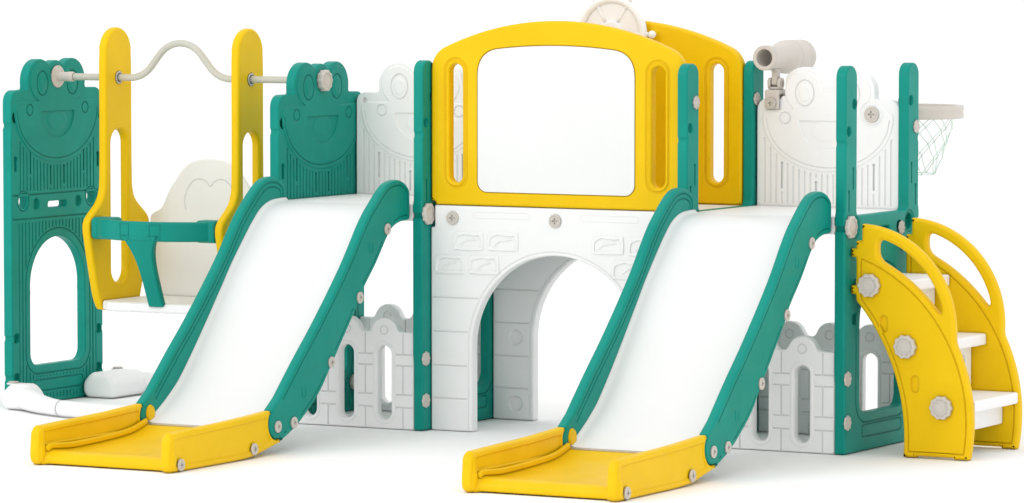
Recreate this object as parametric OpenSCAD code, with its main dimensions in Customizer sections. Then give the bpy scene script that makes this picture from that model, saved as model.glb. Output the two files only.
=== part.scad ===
// Toddler play set: swing, two slides, tunnel bridge, stairs, telescope, wheel and hoop.
// Units are millimetres. +Z is up, +X runs along the row, slides face -Y, stairs face +X.
// The origin is on the floor, under the middle of the whole set.

/* [Frame] */
// height of the green posts above the floor
post_h = 1100; // [900:10:1300]
// thickness of every green panel
panel_t = 33; // [24:1:45]
// front to back depth of every green panel
panel_w = 506; // [400:2:620]
// depth of one post of the open panels
post_d = 77; // [50:1:110]
// height of the deck's top
deck_z = 674; // [500:2:800]
// thickness of the decks
deck_t = 50; // [30:1:70]
// clear width of the two slide bays
bay_w = 467; // [380:1:560]
// clear length of the tunnel bay
tunnel_l = 842; // [600:2:1000]
// clear length of the swing bay
swing_l = 945; // [800:5:1100]
// height of the window in every green panel
window_z = 523; // [400:1:560]
// width of the window in every green panel
window_w = 302; // [200:2:340]

/* [Slides] */
// overall width of one slide
slide_w = 462; // [360:1:465]
// thickness of a slide wall
wall_t = 30; // [18:1:40]
// reach of a slide in front of the posts
slide_l = 1290; // [1000:5:1500]
// steepness of the slide
slope = 48; // [35:1:55]
// radius of the bed where it leaves the deck
crest_r = 253; // [150:1:300]
// radius of the bed where it levels out
run_r = 450; // [300:5:600]

/* [Swing] */
// height of the swing bar
bar_z = 1028; // [900:1:1060]
// radius of the swing bar
bar_r = 11; // [8:0.5:16]
// height of the hump in the bar
hump_h = 109; // [60:1:140]
// running gap between bar and bush
bush_gap = 0.05; // [0.02:0.01:0.1]
// clear width between the two swing sides
seat_w = 458; // [380:2:520]
// thickness of a swing side
side_t = 30; // [20:1:40]

/* [Bridge] */
// thickness of arch and guard panels
plate_t = 36; // [24:1:45]
// set-back of arch and guard panels
set_back = 46; // [10:1:60]
// width of the legs of the arch
leg_w = 141; // [100:1:200]
// top of the guard panels
guard_z = 1219; // [1100:1:1300]

/* [Stairs] */
// thickness of the stair sides
stair_t = 33; // [20:1:45]
// clear width between the stair sides
tread_w = 311; // [250:1:420]
// rise from step to step
rise = 165; // [140:1:190]

/* [Telescope, wheel and hoop] */
// height of the telescope's axis
scope_z = 1110; // [1080:1:1180]
// length of the telescope
scope_l = 257; // [200:1:300]
// radius of the wheel's rim to the tube's middle
wheel_r = 104; // [80:1:120]
// outer radius of the hoop
hoop_r = 165; // [120:1:200]

/* [Hidden] */
$fn = 64;
c_x = 0;
e_x = panel_t + tunnel_l;
d_x = e_x + panel_t + bay_w;
b_x = -bay_w - panel_t;
a_x = b_x - swing_l - panel_t;
mid_y = panel_w / 2;
stair_end = d_x + panel_t + 375;
shift_x = -(a_x - 20 + stair_end) / 2;
hoop_y = panel_w + 30 + hoop_r;
front_y = -slide_l - 35;
shift_y = -(front_y + hoop_y + hoop_r) / 2;
swing_x = a_x + panel_t + swing_l / 2 - 8;
left_c = -bay_w / 2 - 5;
right_c = e_x + panel_t + bay_w / 2 - 5;
frog_y = 445;
frog_t = 40;
scope_x = e_x + panel_t + 58;
hoop_x = e_x + panel_t + 377;
tun_c = panel_t + tunnel_l / 2;
bar_y = mid_y;
stair_y = 30;
knob_z = [482, 313, 146];
knob_x = [62, 174, 285];
green = [0.12, 0.58, 0.50];
yellow = [0.95, 0.77, 0.07];
white = [0.94, 0.94, 0.93];
sand = [0.80, 0.77, 0.74];

// ---------- helpers ----------

// moves a piece from the frame of the middle panel to the set's origin
module place() {
  translate([shift_x, shift_y, 0])
    children();
}

// a flat piece across X: its outline is drawn in Y and Z
module plate_x(x, t) {
  translate([x, 0, 0])
    rotate([90, 0, 90])
      linear_extrude(t)
        children();
}

// a flat piece across Y: its outline is drawn in X and Z
module plate_y(y, t) {
  translate([0, y + t, 0])
    rotate([90, 0, 0])
      linear_extrude(t)
        children();
}

// a disc or pin along X
module pin_x(x, y, z, r, l) {
  translate([x, y, z])
    rotate([0, 90, 0])
      cylinder(r = r, h = l);
}

// a disc or pin along Y
module pin_y(x, y, z, r, l) {
  translate([x, y, z])
    rotate([-90, 0, 0])
      cylinder(r = r, h = l);
}

// a rectangle with round corners, from its low corner
module soft(x, y, w, h, r) {
  union() {
    translate([x + r, y])
      square([w - 2 * r, h]);
    translate([x, y + r])
      square([w, h - 2 * r]);
    for (i = [0, 1], j = [0, 1])
      translate([x + r + i * (w - 2 * r), y + r + j * (h - 2 * r)])
        circle(r);
  }
}

function arc(cy, cz, r, a0, a1, n) =
  [for (i = [0:n]) [cy + r * cos(a0 + (a1 - a0) * i / n), cz + r * sin(a0 + (a1 - a0) * i / n)]];

// ---------- green panels ----------

module window() {
  union() {
    translate([mid_y, window_z - window_w / 2])
      circle(window_w / 2);
    soft(mid_y - window_w / 2, 122, window_w, window_z - 122 - window_w / 2 + 40, 40);
  }
}

module lock_holes() {
  for (s = [-1, 1])
    translate([mid_y + s * 188, 642])
      circle(24);
  soft(mid_y - 51, 619, 102, 20, 8);
}

module frog(w, top) {
  union() {
    soft(0, 0, w, 995, 36);
    square([w, 200]);
    translate([w / 2 - 150, 900])
      square([300, 110]);
    translate([w / 2 - 80, 900])
      square([160, top - 900 - 52]);
    for (s = [-1, 1])
      translate([w / 2 + s * 79, top - 71])
        circle(71);
  }
}

module frog_panel(x) {
  plate_x(x, panel_t)
    difference() {
      frog(panel_w, 1085);
      window();
      lock_holes();
      translate([bar_y, bar_z])
        circle(bar_r + 0.5);
    }
}

module post_panel(x) {
  plate_x(x, panel_t)
    difference() {
      union() {
        square([panel_w, deck_z]);
        for (y = [0, panel_w - post_d])
          soft(y, 300, post_d, post_h - 300, post_d / 2 - 2);
      }
      translate([0, -13])
        window();
      lock_holes();
    }
}

module panel_a() {
  color(green) place() frog_panel(a_x);
}

module panel_b() {
  color(green) place() frog_panel(b_x);
}

module panel_c() {
  color(green) place() post_panel(c_x);
}

module panel_e() {
  color(green) place() post_panel(e_x);
}

module panel_d() {
  color(green) place() post_panel(d_x);
}

// ---------- decks, white backs, fences ----------

module deck(x, l) {
  translate([x + 1, 2, deck_z - deck_t])
    cube([l - 2, frog_y - 3, deck_t]);
}

module deck_left() {
  color(white) place() deck(-bay_w, bay_w);
}

module deck_right() {
  color(white) place() deck(e_x + panel_t, bay_w);
}

module deck_tunnel() {
  color(white) place()
    translate([panel_t + 1, set_back + plate_t + 1, deck_z - deck_t])
      cube([tunnel_l - 2, panel_w - 2 * (set_back + plate_t) - 2, deck_t]);
}

module frog_back(x) {
  plate_y(frog_y, frog_t)
    translate([x + 12, 0])
      intersection() {
        frog(bay_w - 24, 1083);
        translate([0, deck_z - deck_t])
          square([bay_w - 24, 600]);
      }
}

module frog_left() {
  color(white) place()
    frog_back(-bay_w);
}

module frog_right() {
  color(white) place()
    difference() {
      frog_back(e_x + panel_t);
      pin_y(hoop_x, frog_y - 5, 948, 6.5, frog_t + 10);
      translate([scope_x - 45, frog_y - 5, 997])
        cube([84, frog_t + 10, 120]);
    }
}

module fence(x, y) {
  plate_y(y, 30)
    translate([x + bay_w / 2, 0])
      difference() {
        union() {
          translate([-bay_w / 2 + 1, 0])
            square([bay_w - 2, 290]);
          for (s = [-1, 0, 1])
            translate([s * 130, 288])
              circle(45);
        }
        for (s = [-1, 0, 1])
          soft(s * 130 - 26, 26, 52, 222, 25.9);
      }
}

module fence_left_front() {
  color(white) place() fence(-bay_w, 5);
}

module fence_left_back() {
  color(white) place() fence(-bay_w, panel_w - 38);
}

module fence_right_front() {
  color(white) place() fence(e_x + panel_t, 5);
}

module fence_right_back() {
  color(white) place() fence(e_x + panel_t, panel_w - 38);
}

// ---------- tunnel bridge ----------

module arch(y) {
  plate_y(y, plate_t)
    translate([panel_t, 0])
      difference() {
        translate([1, 0])
          square([tunnel_l - 2, deck_z - 3]);
        translate([leg_w, -1])
          square([tunnel_l - 2 * leg_w, 252]);
        translate([tunnel_l / 2, 251])
          circle(tunnel_l / 2 - leg_w);
      }
}

module knob_notch() {
  translate([panel_t - 1, set_back - 1, 608])
    cube([16, plate_t + 2, 76]);
}

module arch_front() {
  color(white) place()
    difference() {
      arch(set_back);
      knob_notch();
    }
}

module arch_back() {
  color(white) place() arch(panel_w - set_back - plate_t);
}

module guard_shape() {
  intersection() {
    soft(1, deck_z - 1, tunnel_l - 2, guard_z - deck_z + 1, 60);
    translate([tunnel_l / 2, guard_z - 925])
      circle(925);
  }
}

module guard(y) {
  plate_y(y, plate_t)
    translate([panel_t, 0])
      difference() {
        guard_shape();
        for (s = [-1, 1])
          soft(tunnel_l / 2 + s * 336 - 22, 739, 44, 351, 21.9);
      }
}

module guard_front() {
  color(yellow) place()
    difference() {
      guard(set_back);
      plate_y(set_back - 1, 5)
        board_shape(1);
      knob_notch();
    }
}

module board_shape(g) {
  union() {
    soft(tun_c - 261 - g, 713 - g, 522 + 2 * g, 340 + 2 * g, 30);
    intersection() {
      soft(tun_c - 261 - g, 760, 522 + 2 * g, 387 + g, 110);
      translate([tun_c, 1147 + g - 925])
        circle(925);
    }
  }
}

module whiteboard() {
  color(white) place()
    plate_y(set_back - 0.5, 4)
      board_shape(0);
}

guard_back_y = panel_w - set_back - plate_t;

module guard_back() {
  color(yellow) place()
    difference() {
      guard(guard_back_y);
      pin_y(tun_c, guard_back_y - 1, 1175, 8.2, 26);
    }
}

module wheel() {
  color(white) place()
    translate([tun_c, guard_back_y - 21, 1175])
      rotate([90, 0, 0])
        difference() {
          union() {
            rotate_extrude()
              translate([wheel_r, 0])
                circle(12);
            translate([0, 0, -14])
              cylinder(r = 40, h = 28);
            for (k = [0:5])
              rotate([0, 0, k * 60])
                union() {
                  rotate([0, 90, 0])
                    cylinder(r = 8, h = 136);
                  translate([134, 0, 0])
                    sphere(12);
                }
          }
          translate([0, 0, -20])
            cylinder(r = 8.05, h = 40);
        }
}

module wheel_axle() {
  color(sand) place()
    union() {
      pin_y(tun_c, guard_back_y - 38, 1175, 8, 62);
      pin_y(tun_c, guard_back_y - 42, 1175, 17, 6.5);
      pin_y(tun_c, guard_back_y - 6.6, 1175, 17, 6);
    }
}

// ---------- slides ----------

line_y = -364;
line_z = 428;
crest_y = line_y + (deck_z - line_z) / tan(slope);
crest_t = crest_r * tan(slope / 2);
exit_a = 2.3;
foot_y = (line_z - tan(slope) * line_y - 35 - tan(exit_a) * 1285) / (tan(exit_a) - tan(slope));
foot_z = 35 + tan(exit_a) * (foot_y + 1285);
run_t = run_r * tan((slope - exit_a) / 2);
run_cy = foot_y + run_t * cos(slope) - run_r * sin(slope);
run_cz = foot_z + run_t * sin(slope) + run_r * cos(slope);
joint_y = -770;

bed_top = concat(
  [[-2, deck_z]],
  arc(crest_y + crest_t, deck_z - crest_r, crest_r, 90, 90 + slope, 14),
  arc(run_cy, run_cz, run_r, 270 + slope, 270 + exit_a, 18),
  [[-slide_l, 35]]);

wall_top = concat(
  arc(-80, 629, 120, 50, 134.5, 16),
  arc(-820, 420, 300, 314.5, 296, 6),
  [[joint_y - 17, 126], [-896, 121], [-slide_l + 20, 109]],
  arc(-slide_l + 10, 84, 42, 110, 180, 6),
  arc(-slide_l + 10, 45, 45, 180, 270, 8));

wall_low = concat(
  arc(-868, 465, 465, 270, 317.6, 16),
  arc(-37, 490, 136, 137.6, 90, 8),
  [[-2, 630]]);

bed_low = concat(
  [[-slide_l, 0]],
  arc(-868, 471, 465, 270, 317.6, 16),
  arc(-37, 496, 136, 137.6, 90, 8),
  [[-2, 630]]);

// the seam between the green and the yellow half of a slide wall
module seam(g) {
  union() {
    translate([-735 - g, -20])
      square([800, 900]);
    translate([-750, 90])
      circle(47 + g);
    translate([-785 - g, 92])
      square([60, 50]);
  }
}

module wall_shape() {
  intersection() {
    polygon(concat(wall_top, wall_low));
    translate([-2000, 0])
      square([1998, 900]);
  }
}

module wall_bores(x) {
  for (p = slide_bolt_at)
    pin_x(x - 1, p[0], p[1], 6.2, wall_t + 2);
}

slide_bolt_at = [[-140, 607], [-299, 416], [-460, 239], [-667, 83], [-880, 30], [-1262, 20]];

module slide_wall(x) {
  difference() {
    plate_x(x, wall_t)
      intersection() {
        wall_shape();
        seam(0);
      }
    wall_bores(x);
  }
}

module exit_wall(x) {
  difference() {
    plate_x(x, wall_t)
      difference() {
        wall_shape();
        seam(0.5);
      }
    wall_bores(x);
  }
}

module bed_shape() {
  intersection() {
    polygon(concat(bed_top, bed_low));
    translate([-slide_l, 0])
      square([slide_l - 2, 900]);
  }
}

module bed_bores(c) {
  for (p = slide_bolt_at)
    pin_x(c - slide_w / 2, p[0], p[1], 6.2, slide_w);
}

module slide_bed(c) {
  difference() {
    plate_x(c - slide_w / 2 + wall_t + 0.5, slide_w - 2 * wall_t - 1)
      intersection() {
        bed_shape();
        translate([joint_y, 0])
          square([1000, 900]);
      }
    bed_bores(c);
  }
}

module exit_bed(c) {
  difference() {
    plate_x(c - slide_w / 2 + wall_t + 0.5, slide_w - 2 * wall_t - 1)
      intersection() {
        bed_shape();
        translate([joint_y - 2000.5, 0])
          square([2000, 900]);
      }
    bed_bores(c);
  }
}

module slide_left_wall_a() {
  color(green) place() slide_wall(left_c - slide_w / 2);
}

module slide_left_wall_b() {
  color(green) place() slide_wall(left_c + slide_w / 2 - wall_t);
}

module slide_left_bed() {
  color(white) place() slide_bed(left_c);
}

module slide_left_exit() {
  color(yellow) place() exit_bed(left_c);
}

module slide_left_exit_a() {
  color(yellow) place() exit_wall(left_c - slide_w / 2);
}

module slide_left_exit_b() {
  color(yellow) place() exit_wall(left_c + slide_w / 2 - wall_t);
}

module slide_right_wall_a() {
  color(green) place() slide_wall(right_c - slide_w / 2);
}

module slide_right_wall_b() {
  color(green) place() slide_wall(right_c + slide_w / 2 - wall_t);
}

module slide_right_bed() {
  color(white) place() slide_bed(right_c);
}

module slide_right_exit() {
  color(yellow) place() exit_bed(right_c);
}

module slide_right_exit_a() {
  color(yellow) place() exit_wall(right_c - slide_w / 2);
}

module slide_right_exit_b() {
  color(yellow) place() exit_wall(right_c + slide_w / 2 - wall_t);
}

module slide_bolts() {
  color(sand) place()
    union() {
      for (c = [left_c, right_c], p = slide_bolt_at)
        union() {
          pin_x(c - slide_w / 2 - 5, p[0], p[1], 17, 5);
          pin_x(c - slide_w / 2 - 2, p[0], p[1], 6, slide_w + 4);
          pin_x(c + slide_w / 2, p[0], p[1], 17, 5);
        }
      for (c = [left_c, right_c], s = [-1, 1])
        pin_x(c + s * (slide_w / 2 + 2.5) - 2.5, -754, 79, 17, 5);
    }
}

// ---------- stairs ----------

module stair_shape() {
  difference() {
    intersection() {
      union() {
        translate([-125, 100])
          circle(500);
        translate([21, 355])
          circle(300);
      }
      union() {
        translate([16, 0])
          square([600, 606]);
        translate([34, 500])
          square([600, 200]);
      }
    }
    translate([-409, 50])
      circle(575);
    difference() {
      translate([21, 355])
        circle(268);
      translate([-125, 100])
        circle(500);
      translate([-300, 0])
        square([388, 700]);
    }
  }
}

module stair_side(y) {
  difference() {
    translate([d_x + panel_t, 0, 0])
      plate_y(y, stair_t)
        union() {
          stair_shape();
          for (z = [455, 560])
            translate([1, z])
              square([18, 25]);
        }
    for (k = [0:2])
      pin_y(d_x + panel_t + knob_x[k], y - 1, knob_z[k], 8.2, stair_t + 2);
  }
}

module stair_near() {
  color(yellow) place() stair_side(stair_y);
}

module stair_far() {
  color(yellow) place() stair_side(stair_y + stair_t + tread_w);
}

module tread(x, z, w, skirt) {
  difference() {
    translate([d_x + panel_t, stair_y + stair_t + 0.5, 0])
      union() {
        translate([x, 0, z - 33])
          cube([w, tread_w - 1, 33]);
        translate([x + w - 75, 0, z - 33 - skirt])
          cube([28, tread_w - 1, skirt + 1]);
      }
    children();
  }
}

module knob_holes(k) {
  pin_y(d_x + panel_t + knob_x[k], stair_y, knob_z[k], 8.2, tread_w + 80);
}

module step_top() {
  color(white) place()
    tread(2, 3 * rise, 157, 128)
      knob_holes(0);
}

module step_mid() {
  color(white) place()
    tread(114, 2 * rise, 160, 128)
      knob_holes(1);
}

module step_low() {
  color(white) place()
    tread(225, rise, 148, 60)
      knob_holes(2);
}

module lobed(r) {
  union() {
    circle(r - 3);
    for (a = [0:45:315])
      rotate(a)
        translate([r - 9, 0])
          circle(9);
  }
}

module stair_knobs() {
  color(sand) place()
    for (k = [0:2])
      union() {
        translate([d_x + panel_t + knob_x[k], stair_y, knob_z[k]])
          rotate([90, 0, 0])
            linear_extrude(16)
              lobed(34);
        pin_y(d_x + panel_t + knob_x[k], stair_y - 2, knob_z[k], 8, tread_w + 2 * stair_t + 10);
        pin_y(d_x + panel_t + knob_x[k], stair_y + tread_w + 2 * stair_t, knob_z[k], 24, 8);
      }
}

// ---------- swing ----------

bend_r = 100;
bend_a = 50;
rise_l = (hump_h - 2 * bend_r * (1 - cos(bend_a))) / sin(bend_a);
hump_w = 2 * bend_r * sin(bend_a) + rise_l * cos(bend_a);

// a bent stretch of tube in the X-Z plane
module bend(x, z, a0, a1) {
  translate([x, bar_y, z])
    rotate([90, 0, 0])
      rotate([0, 0, a0])
        rotate_extrude(angle = a1 - a0)
          translate([bend_r, 0])
            circle(bar_r - 0.1);
}

module hump_half() {
  union() {
    bend(-hump_w, bar_z + bend_r, 269, 271 + bend_a);
    bend(0, bar_z + hump_h - bend_r, 89, 91 + bend_a);
    translate([-hump_w + bend_r * sin(bend_a), bar_y, bar_z + bend_r * (1 - cos(bend_a))])
      rotate([0, 90 - bend_a, 0])
        cylinder(r = bar_r, h = rise_l);
  }
}

module swing_bar() {
  color(sand) place()
    union() {
      pin_x(a_x - 10, bar_y, bar_z, bar_r, swing_x - hump_w - a_x + 10);
      pin_x(swing_x + hump_w, bar_y, bar_z, bar_r, b_x + panel_t + 10 - swing_x - hump_w);
      translate([swing_x, 0, 0])
        hump_half();
      translate([swing_x, 2 * bar_y, 0])
        rotate([0, 0, 180])
          hump_half();
    }
}

module ring_x(x, y, z, r, hole, l) {
  difference() {
    pin_x(x, y, z, r, l);
    pin_x(x - 1, y, z, hole, l + 2);
  }
}

module bar_flange() {
  color(sand) place()
    union() {
      ring_x(a_x + panel_t, bar_y, bar_z, 35, bar_r + 0.3, 8);
      ring_x(a_x + panel_t + 7, bar_y, bar_z, 15, bar_r + 0.3, 60);
    }
}

module bar_nuts() {
  color(sand) place()
    for (x = [a_x - 20, b_x + panel_t])
      translate([x, bar_y, bar_z])
        rotate([0, 90, 0])
          difference() {
            linear_extrude(20)
              lobed(34);
            translate([0, 0, x < a_x ? 10 : -10])
              cylinder(r = bar_r + 0.3, h = 20.5);
          }
}

module side_shape() {
  difference() {
    offset(16)
      offset(-16)
        union() {
          translate([bar_y, guard_z - 33 - 75])
            circle(75);
          translate([bar_y, 0])
            polygon([[-75, 1110], [-75, 690], [-108, 640], [-166, 590], [-172, 560], [-158, 500], [-98, 300],
              [102, 300], [162, 500], [174, 560], [168, 590], [108, 640], [75, 690], [75, 1110]]);
        }
    soft(bar_y - 44, 385, 88, 480, 43.9);
    translate([bar_y, bar_z])
      circle(16);
  }
}

module swing_side_a() {
  color(yellow) place()
    plate_x(swing_x - seat_w / 2 - side_t, side_t)
      side_shape();
}

module swing_side_b() {
  color(yellow) place()
    plate_x(swing_x + seat_w / 2, side_t)
      side_shape();
}

module swing_bushes() {
  color(sand) place()
    for (x = [swing_x - seat_w / 2 - side_t - 2, swing_x + seat_w / 2 - 2])
      difference() {
        union() {
          pin_x(x, bar_y, bar_z, 16, side_t + 4);
          pin_x(x, bar_y, bar_z, 20, 2);
          pin_x(x + side_t + 2, bar_y, bar_z, 20, 2);
        }
        pin_x(x - 1, bar_y, bar_z, bar_r + bush_gap, side_t + 8);
      }
}

module swing_seat() {
  color(white) place()
    translate([0, 0, 305])
      linear_extrude(30)
        union() {
          translate([swing_x - seat_w / 2 + 0.5, 150])
            square([seat_w - 1, 270]);
          soft(swing_x - seat_w / 2 + 40, 105, seat_w - 80, 150, 20);
        }
}

module swing_back() {
  color(white) place()
    plate_y(421, 14)
      union() {
        soft(swing_x - seat_w / 2 + 0.5, 305, seat_w - 1, 295, 18);
        translate([swing_x - 120, 560])
          square([240, 140]);
        soft(swing_x - 170, 500, 340, 160, 20);
        for (s = [-1, 1])
          translate([swing_x + s * 50, 672])
            circle(100);
      }
}

guard_bow = 100;
guard_r = (pow(seat_w / 2, 2) + pow(guard_bow, 2)) / (2 * guard_bow);
guard_a = asin(seat_w / 2 / guard_r) - 1;

module swing_guard() {
  color(green) place()
    union() {
      translate([swing_x, 10 + guard_r, 533])
        rotate([0, 0, 270 - guard_a])
          rotate_extrude(angle = 2 * guard_a, $fn = 360)
            translate([guard_r - 26, 0])
              square([26, 60]);
      for (s = [-1, 1])
        translate([swing_x + s * (seat_w / 2 - 38.5), 0, 0])
          plate_x(-37.5, 75)
            soft(92, 530, 62, 66, 15);
      plate_x(swing_x - 30, 60)
        polygon([[11, 540], [37, 540], [60, 480], [102, 400], [125, 336], [88, 336], [60, 400], [26, 480]]);
    }
}

rail_sag = 157;
rail_half = swing_l / 2 - 66;
rail_r = (pow(rail_half, 2) + pow(rail_sag, 2)) / (2 * rail_sag);
rail_a = asin(rail_half / rail_r);

module rail() {
  union() {
    translate([0, rail_r - rail_sag - 38, 27])
      rotate([0, 0, 270 - rail_a])
        rotate_extrude(angle = 2 * rail_a, $fn = 360)
          translate([rail_r, 0])
            circle(25);
    for (s = [-1, 1])
      translate([s * (swing_l / 2 - 66) - 64, 0, 0])
        plate_y(-74, 72)
          soft(0, 0, 128, 82, 26);
  }
}

rail_c = a_x + panel_t + swing_l / 2;

module rail_front() {
  color(white) place()
    translate([rail_c, 0, 0])
      rail();
}

module rail_back() {
  color(white) place()
    translate([rail_c, panel_w, 0])
      rotate([0, 0, 180])
        rail();
}

// ---------- telescope ----------

scope_y = frog_y + 20;
scope_pin_z = 1034;

module scope_barrel() {
  color(sand) place()
    difference() {
      union() {
        translate([scope_x, scope_y - 81, scope_z])
          rotate([-90, 0, 0])
            rotate_extrude()
              polygon([[25, 0], [37, 0], [37, 26], [34, 30], [34, 92], [48, 132],
                [50, 150], [50, scope_l], [43, scope_l], [43, 150], [25, 110]]);
        translate([scope_x - 16, scope_y - 12, scope_pin_z])
          cube([32, 24, 46]);
        pin_x(scope_x - 16, scope_y, scope_pin_z, 12, 32);
      }
      pin_x(scope_x - 20, scope_y, scope_pin_z, 6.05, 40);
      pin_y(scope_x, scope_y - 90, scope_z, 25, 140);
    }
}

module scope_yoke() {
  color(sand) place()
    union() {
      translate([scope_x, scope_y, 1003])
        cylinder(r = 8, h = 16);
      translate([scope_x, scope_y, 1016.6])
        cylinder(r = 24, h = 4);
      for (s = [-1, 1])
        translate([scope_x + s * 25, 0, 0])
          plate_x(-8, 16)
            soft(scope_y - 17, 1016.6, 34, 34, 12);
      pin_x(scope_x - 25, scope_y, scope_pin_z, 6, 50);
    }
}

module scope_clamp() {
  color(sand) place()
    difference() {
      translate([scope_x - 31, frog_y - 12, 958])
        cube([62, frog_t + 24, 58]);
      translate([scope_x - 40, frog_y - 0.5, 950])
        cube([80, frog_t + 1, 51]);
      translate([scope_x, scope_y, 990])
        cylinder(r = 8.05, h = 40);
    }
}

// ---------- basketball hoop ----------

module hoop_rim() {
  color(sand) place()
    difference() {
      union() {
        translate([hoop_x, hoop_y, 930])
          cylinder(r = hoop_r, h = 38);
        translate([hoop_x - 40, frog_y + frog_t + 0.5, 920])
          cube([80, hoop_y - hoop_r + 20 - frog_y - frog_t, 56]);
      }
      translate([hoop_x, hoop_y, 900])
        cylinder(r = hoop_r - 20, h = 100);
      pin_y(hoop_x, frog_y, 948, 6.5, frog_t + 30);
    }
}

module hoop_net() {
  color(white) place()
    translate([hoop_x, hoop_y, 0])
      rotate_extrude()
        polygon([[141, 940], [144.8, 940], [120, 860], [82, 760], [79, 760], [117, 860]]);
}

// ---------- fasteners ----------

module panel_caps() {
  color(sand) place()
    union() {
      for (x = [c_x, d_x], z = [90, 215])
        pin_x(x + panel_t, 15, z, 22, 6);
      for (y = [53, panel_w - 53])
        pin_x(e_x + panel_t, y, 988, 20, 6);
      pin_x(d_x + panel_t, panel_w - 24, 914, 20, 6);
      pin_x(d_x + panel_t, 381, 626, 20, 6);
    }
}

module bolt_y(x, y, z, s) {
  union() {
    pin_y(x, y - (s > 0 ? 5 : 0), z, 21, 5);
    pin_y(x, y - (s > 0 ? 0 : 20), z, 6, 20);
  }
}

module cross_bolts() {
  color(sand) place()
    union() {
      for (x = [panel_t + 76, tun_c, e_x - 76])
        pin_y(x, set_back - 5, 634, 20, 5);
      for (x = [panel_t + 76, tun_c, e_x - 76])
        pin_y(x, panel_w - set_back, 634, 20, 5);
      pin_y(hoop_x, frog_y - 6, 948, 23, 6);
      pin_y(hoop_x, frog_y - 1, 948, 6, frog_t + 20);
      pin_y(scope_x, frog_y - 18, 976, 16, 6);
      for (x = [rail_c - swing_l / 2 + 30, rail_c + swing_l / 2 - 30], y = [-38, panel_w + 38])
        translate([x, y, 82])
          cylinder(r = 16, h = 5);
    }
}

module panel_knobs() {
  color(sand) place()
    union() {
      for (x = [c_x, d_x])
        pin_x(x + panel_t, 27, 645, 33, 12);
      pin_x(b_x + panel_t, panel_w - 70, 90, 24, 12);
    }
}

// ---------- build ----------

panel_a();
panel_b();
panel_c();
panel_e();
panel_d();
deck_left();
deck_tunnel();
deck_right();
frog_left();
frog_right();
arch_front();
arch_back();
guard_front();
guard_back();
whiteboard();
wheel();
wheel_axle();
fence_left_front();
fence_left_back();
fence_right_front();
fence_right_back();
slide_left_wall_a();
slide_left_wall_b();
slide_left_bed();
slide_left_exit();
slide_left_exit_a();
slide_left_exit_b();
slide_right_wall_a();
slide_right_wall_b();
slide_right_bed();
slide_right_exit();
slide_right_exit_a();
slide_right_exit_b();
stair_near();
stair_far();
step_low();
step_mid();
step_top();
stair_knobs();
swing_bar();
bar_flange();
bar_nuts();
swing_side_a();
swing_side_b();
swing_bushes();
swing_seat();
swing_back();
swing_guard();
rail_front();
rail_back();
scope_barrel();
scope_yoke();
scope_clamp();
hoop_rim();
hoop_net();
slide_bolts();
panel_caps();
cross_bolts();
panel_knobs();
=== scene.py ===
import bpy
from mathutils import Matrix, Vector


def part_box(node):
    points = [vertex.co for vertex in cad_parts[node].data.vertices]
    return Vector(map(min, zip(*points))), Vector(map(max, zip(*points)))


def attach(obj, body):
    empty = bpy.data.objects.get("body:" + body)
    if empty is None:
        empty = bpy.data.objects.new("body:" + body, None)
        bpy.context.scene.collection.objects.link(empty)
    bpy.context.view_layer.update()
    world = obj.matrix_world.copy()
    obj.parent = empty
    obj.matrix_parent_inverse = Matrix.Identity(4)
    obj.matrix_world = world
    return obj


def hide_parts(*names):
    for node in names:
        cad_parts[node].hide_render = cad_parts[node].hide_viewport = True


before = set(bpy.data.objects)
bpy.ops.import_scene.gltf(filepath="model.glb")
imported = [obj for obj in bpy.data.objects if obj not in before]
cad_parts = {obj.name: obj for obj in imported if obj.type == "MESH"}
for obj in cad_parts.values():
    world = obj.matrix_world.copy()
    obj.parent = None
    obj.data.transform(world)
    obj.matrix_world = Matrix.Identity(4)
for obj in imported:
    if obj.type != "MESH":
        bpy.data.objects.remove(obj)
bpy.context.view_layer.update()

import math
import bpy
import numpy as np
from mathutils import Vector
from mathutils.geometry import delaunay_2d_cdt

# Lengths are in mm in the frame of the middle green panel: its outer face is X = 0,
# the front edges of the posts are Y = 0 and the floor is Z = 0.
_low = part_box("panel_c")[0]
SX, SY = _low[0] * 1000.0, _low[1] * 1000.0

PT, PW, PD = 33.0, 506.0, 77.0          # a green panel's thickness, its width and its posts' width
DECK, BAY = 674.0, 467.0                # top of the decks, length of a tower between its panels
TUN, SWL = 842.0, 945.0                 # length of the bridge and of the swing bay
EX = PT + TUN                           # outer faces of the panels e, d, b and a
DX = EX + PT + BAY
BX = -BAY - PT
AX = BX - SWL - PT
MID = PW / 2
LC, RC = -BAY / 2 - 5, EX + PT + BAY / 2 - 5   # middle lines of the two slides
TC = PT + TUN / 2                              # middle of the bridge
SWX = AX + PT + SWL / 2 - 8                    # middle of the swing
HX, HY = EX + PT + 377, PW + 30 + 165          # middle of the hoop
SCX, SCY = EX + PT + 58, 465.0                 # the telescope's upright
SLW, WT = 462.0, 30.0                          # a slide's width and its walls' thickness
FLUTE_PITCH, FLUTE_W = 18.5, 4.4                # the upright grooves of the panels and backs
SHALLOW_GAIN = 1.7                             # shallow grooves are cut deeper by this, to be seen from afar


# ---------------------------------------------------------------- outlines

# An outline is a function of (u, v) that gives the distance to its line, negative inside.

def box2(x0, y0, x1, y1, r=0.0):
    cx, cy, hx, hy = (x0 + x1) / 2, (y0 + y1) / 2, (x1 - x0) / 2, (y1 - y0) / 2

    def f(u, v):
        dx = np.abs(u - cx) - hx + r
        dy = np.abs(v - cy) - hy + r
        return np.minimum(np.maximum(dx, dy), 0) + np.hypot(np.maximum(dx, 0), np.maximum(dy, 0)) - r
    return f


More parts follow.
